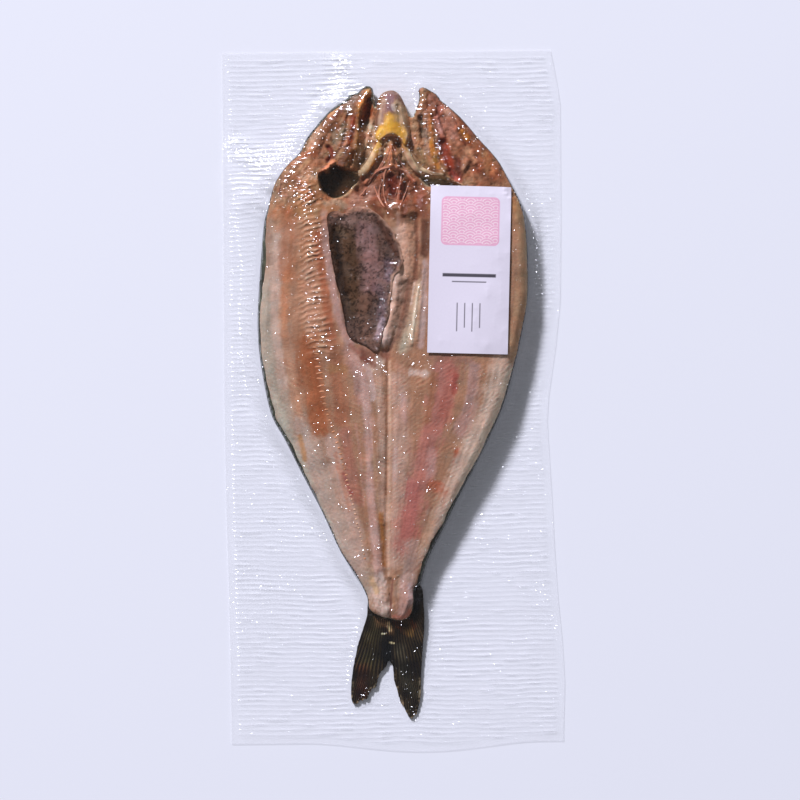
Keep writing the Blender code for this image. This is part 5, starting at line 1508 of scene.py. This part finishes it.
flat_u, flat_v = np.tile(u.ravel(), 2), np.tile(v.ravel(), 2)
middle = (PANEL_LOW + PANEL_HIGH) / 2
out_u = np.abs(flat_u) - PANEL_HALF_WIDTH + PANEL_CORNER
out_v = np.abs(flat_v - middle) - (PANEL_HIGH - PANEL_LOW) / 2 + PANEL_CORNER
past_corner = np.hypot(np.maximum(out_u, 0), np.maximum(out_v, 0))
panel_depth = PANEL_CORNER - past_corner - np.minimum(np.maximum(out_u, out_v), 0)
print_tint = np.tile(albedo(*PAPER), (flat_u.size, 1))
print_tint = laid_over(print_tint, albedo(*PINK), ease(panel_depth / 0.4))
wave_lines = 0.9 * wave_print(flat_u, flat_v) * ease((panel_depth - 0.8) / 0.4)
print_tint = laid_over(print_tint, albedo(*WAVE_LINE), wave_lines)
for centre_u, centre_v, half_width, half_height, colour, strength in BARS:
    depth = np.minimum(half_width - np.abs(flat_u - centre_u), half_height - np.abs(flat_v - centre_v))
    print_tint = laid_over(print_tint, albedo(*colour), strength * ease((depth + 0.15) / 0.3))
colour_points(paper_label, print_tint)

# coated paper: a faint fibre in its tone and relief, and a satin face
paper_fibre = {"Scale": 900.0, "Detail": 5.0}
paper_shades = {"To Min": 0.965, "To Max": 1.03}
paper_relief = {"Strength": 0.3, "Distance": 0.03 * MM}
satin = {"Roughness": 0.42}
coated_paper = grained_material("coated_paper", satin, paper_fibre, paper_shades, paper_relief)
paper_label.data.materials.append(coated_paper)
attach(paper_label, "root")
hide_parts("label")


# --------------------------------------------------------------------------------------------------
# Studio: a pale table, one soft lamp beyond the head and to its left, a third of the way up the sky, a
# pale room for fill, and a camera straight above, turned slightly.

TABLE_HALF = 3000
TABLE_COLOUR = (0.80, 0.80, 0.82, 1)
square = np.array([(-1, -1, 0), (1, -1, 0), (1, 1, 0), (-1, 1, 0)])
table = linked_piece("table", TABLE_HALF * square, [(0, 1, 2, 3)])
table_material = bpy.data.materials.new("table_paint")
table_material.use_nodes = True
table_shader = table_material.node_tree.nodes["Principled BSDF"]
table_shader.inputs["Base Color"].default_value = TABLE_COLOUR
table_shader.inputs["Roughness"].default_value = 0.85
table_shader.inputs["Specular IOR Level"].default_value = 0.1
table.data.materials.append(table_material)

LAMP_DISTANCE, LAMP_ELEVATION, LAMP_BEARING = 11.0, math.radians(31), math.radians(120)
LAMP_SIZE, LAMP_POWER, LAMP_COLOUR = 1.6, 2090.0, (0.85, 0.86, 1.0)
lamp_data = bpy.data.lights.new("soft_lamp", "AREA")
lamp_data.shape = "DISK"
lamp_data.size = LAMP_SIZE
lamp_data.energy = LAMP_POWER
lamp_data.color = LAMP_COLOUR
lamp = bpy.data.objects.new("soft_lamp", lamp_data)
floor_distance = LAMP_DISTANCE * math.cos(LAMP_ELEVATION)
lamp.location = (
    floor_distance * math.cos(LAMP_BEARING),
    floor_distance * math.sin(LAMP_BEARING),
    LAMP_DISTANCE * math.sin(LAMP_ELEVATION),
)
lamp.rotation_euler = (math.pi / 2 - LAMP_ELEVATION, 0, LAMP_BEARING + math.pi / 2)
bpy.context.scene.collection.objects.link(lamp)

ROOM_COLOUR, ROOM_LIGHT = (0.86, 0.89, 1.0, 1), 0.24
room = bpy.data.worlds.new("room")
room.use_nodes = True
room.node_tree.nodes["Background"].inputs["Color"].default_value = ROOM_COLOUR
room.node_tree.nodes["Background"].inputs["Strength"].default_value = ROOM_LIGHT
bpy.context.scene.world = room
bpy.context.scene.view_settings.view_transform = "Standard"

CAMERA_PLACE, CAMERA_TURN = (0.0032, 0.0002, 1.6), math.radians(-0.6)
VIEW_WIDTH, SENSOR = 0.424, 36.0
camera_data = bpy.data.cameras.new("camera")
camera_data.sensor_width = SENSOR
camera_data.lens = SENSOR * CAMERA_PLACE[2] / VIEW_WIDTH
camera = bpy.data.objects.new("camera", camera_data)
camera.location = CAMERA_PLACE
camera.rotation_euler = (0, 0, CAMERA_TURN)
bpy.context.scene.collection.objects.link(camera)
bpy.context.scene.camera = camera
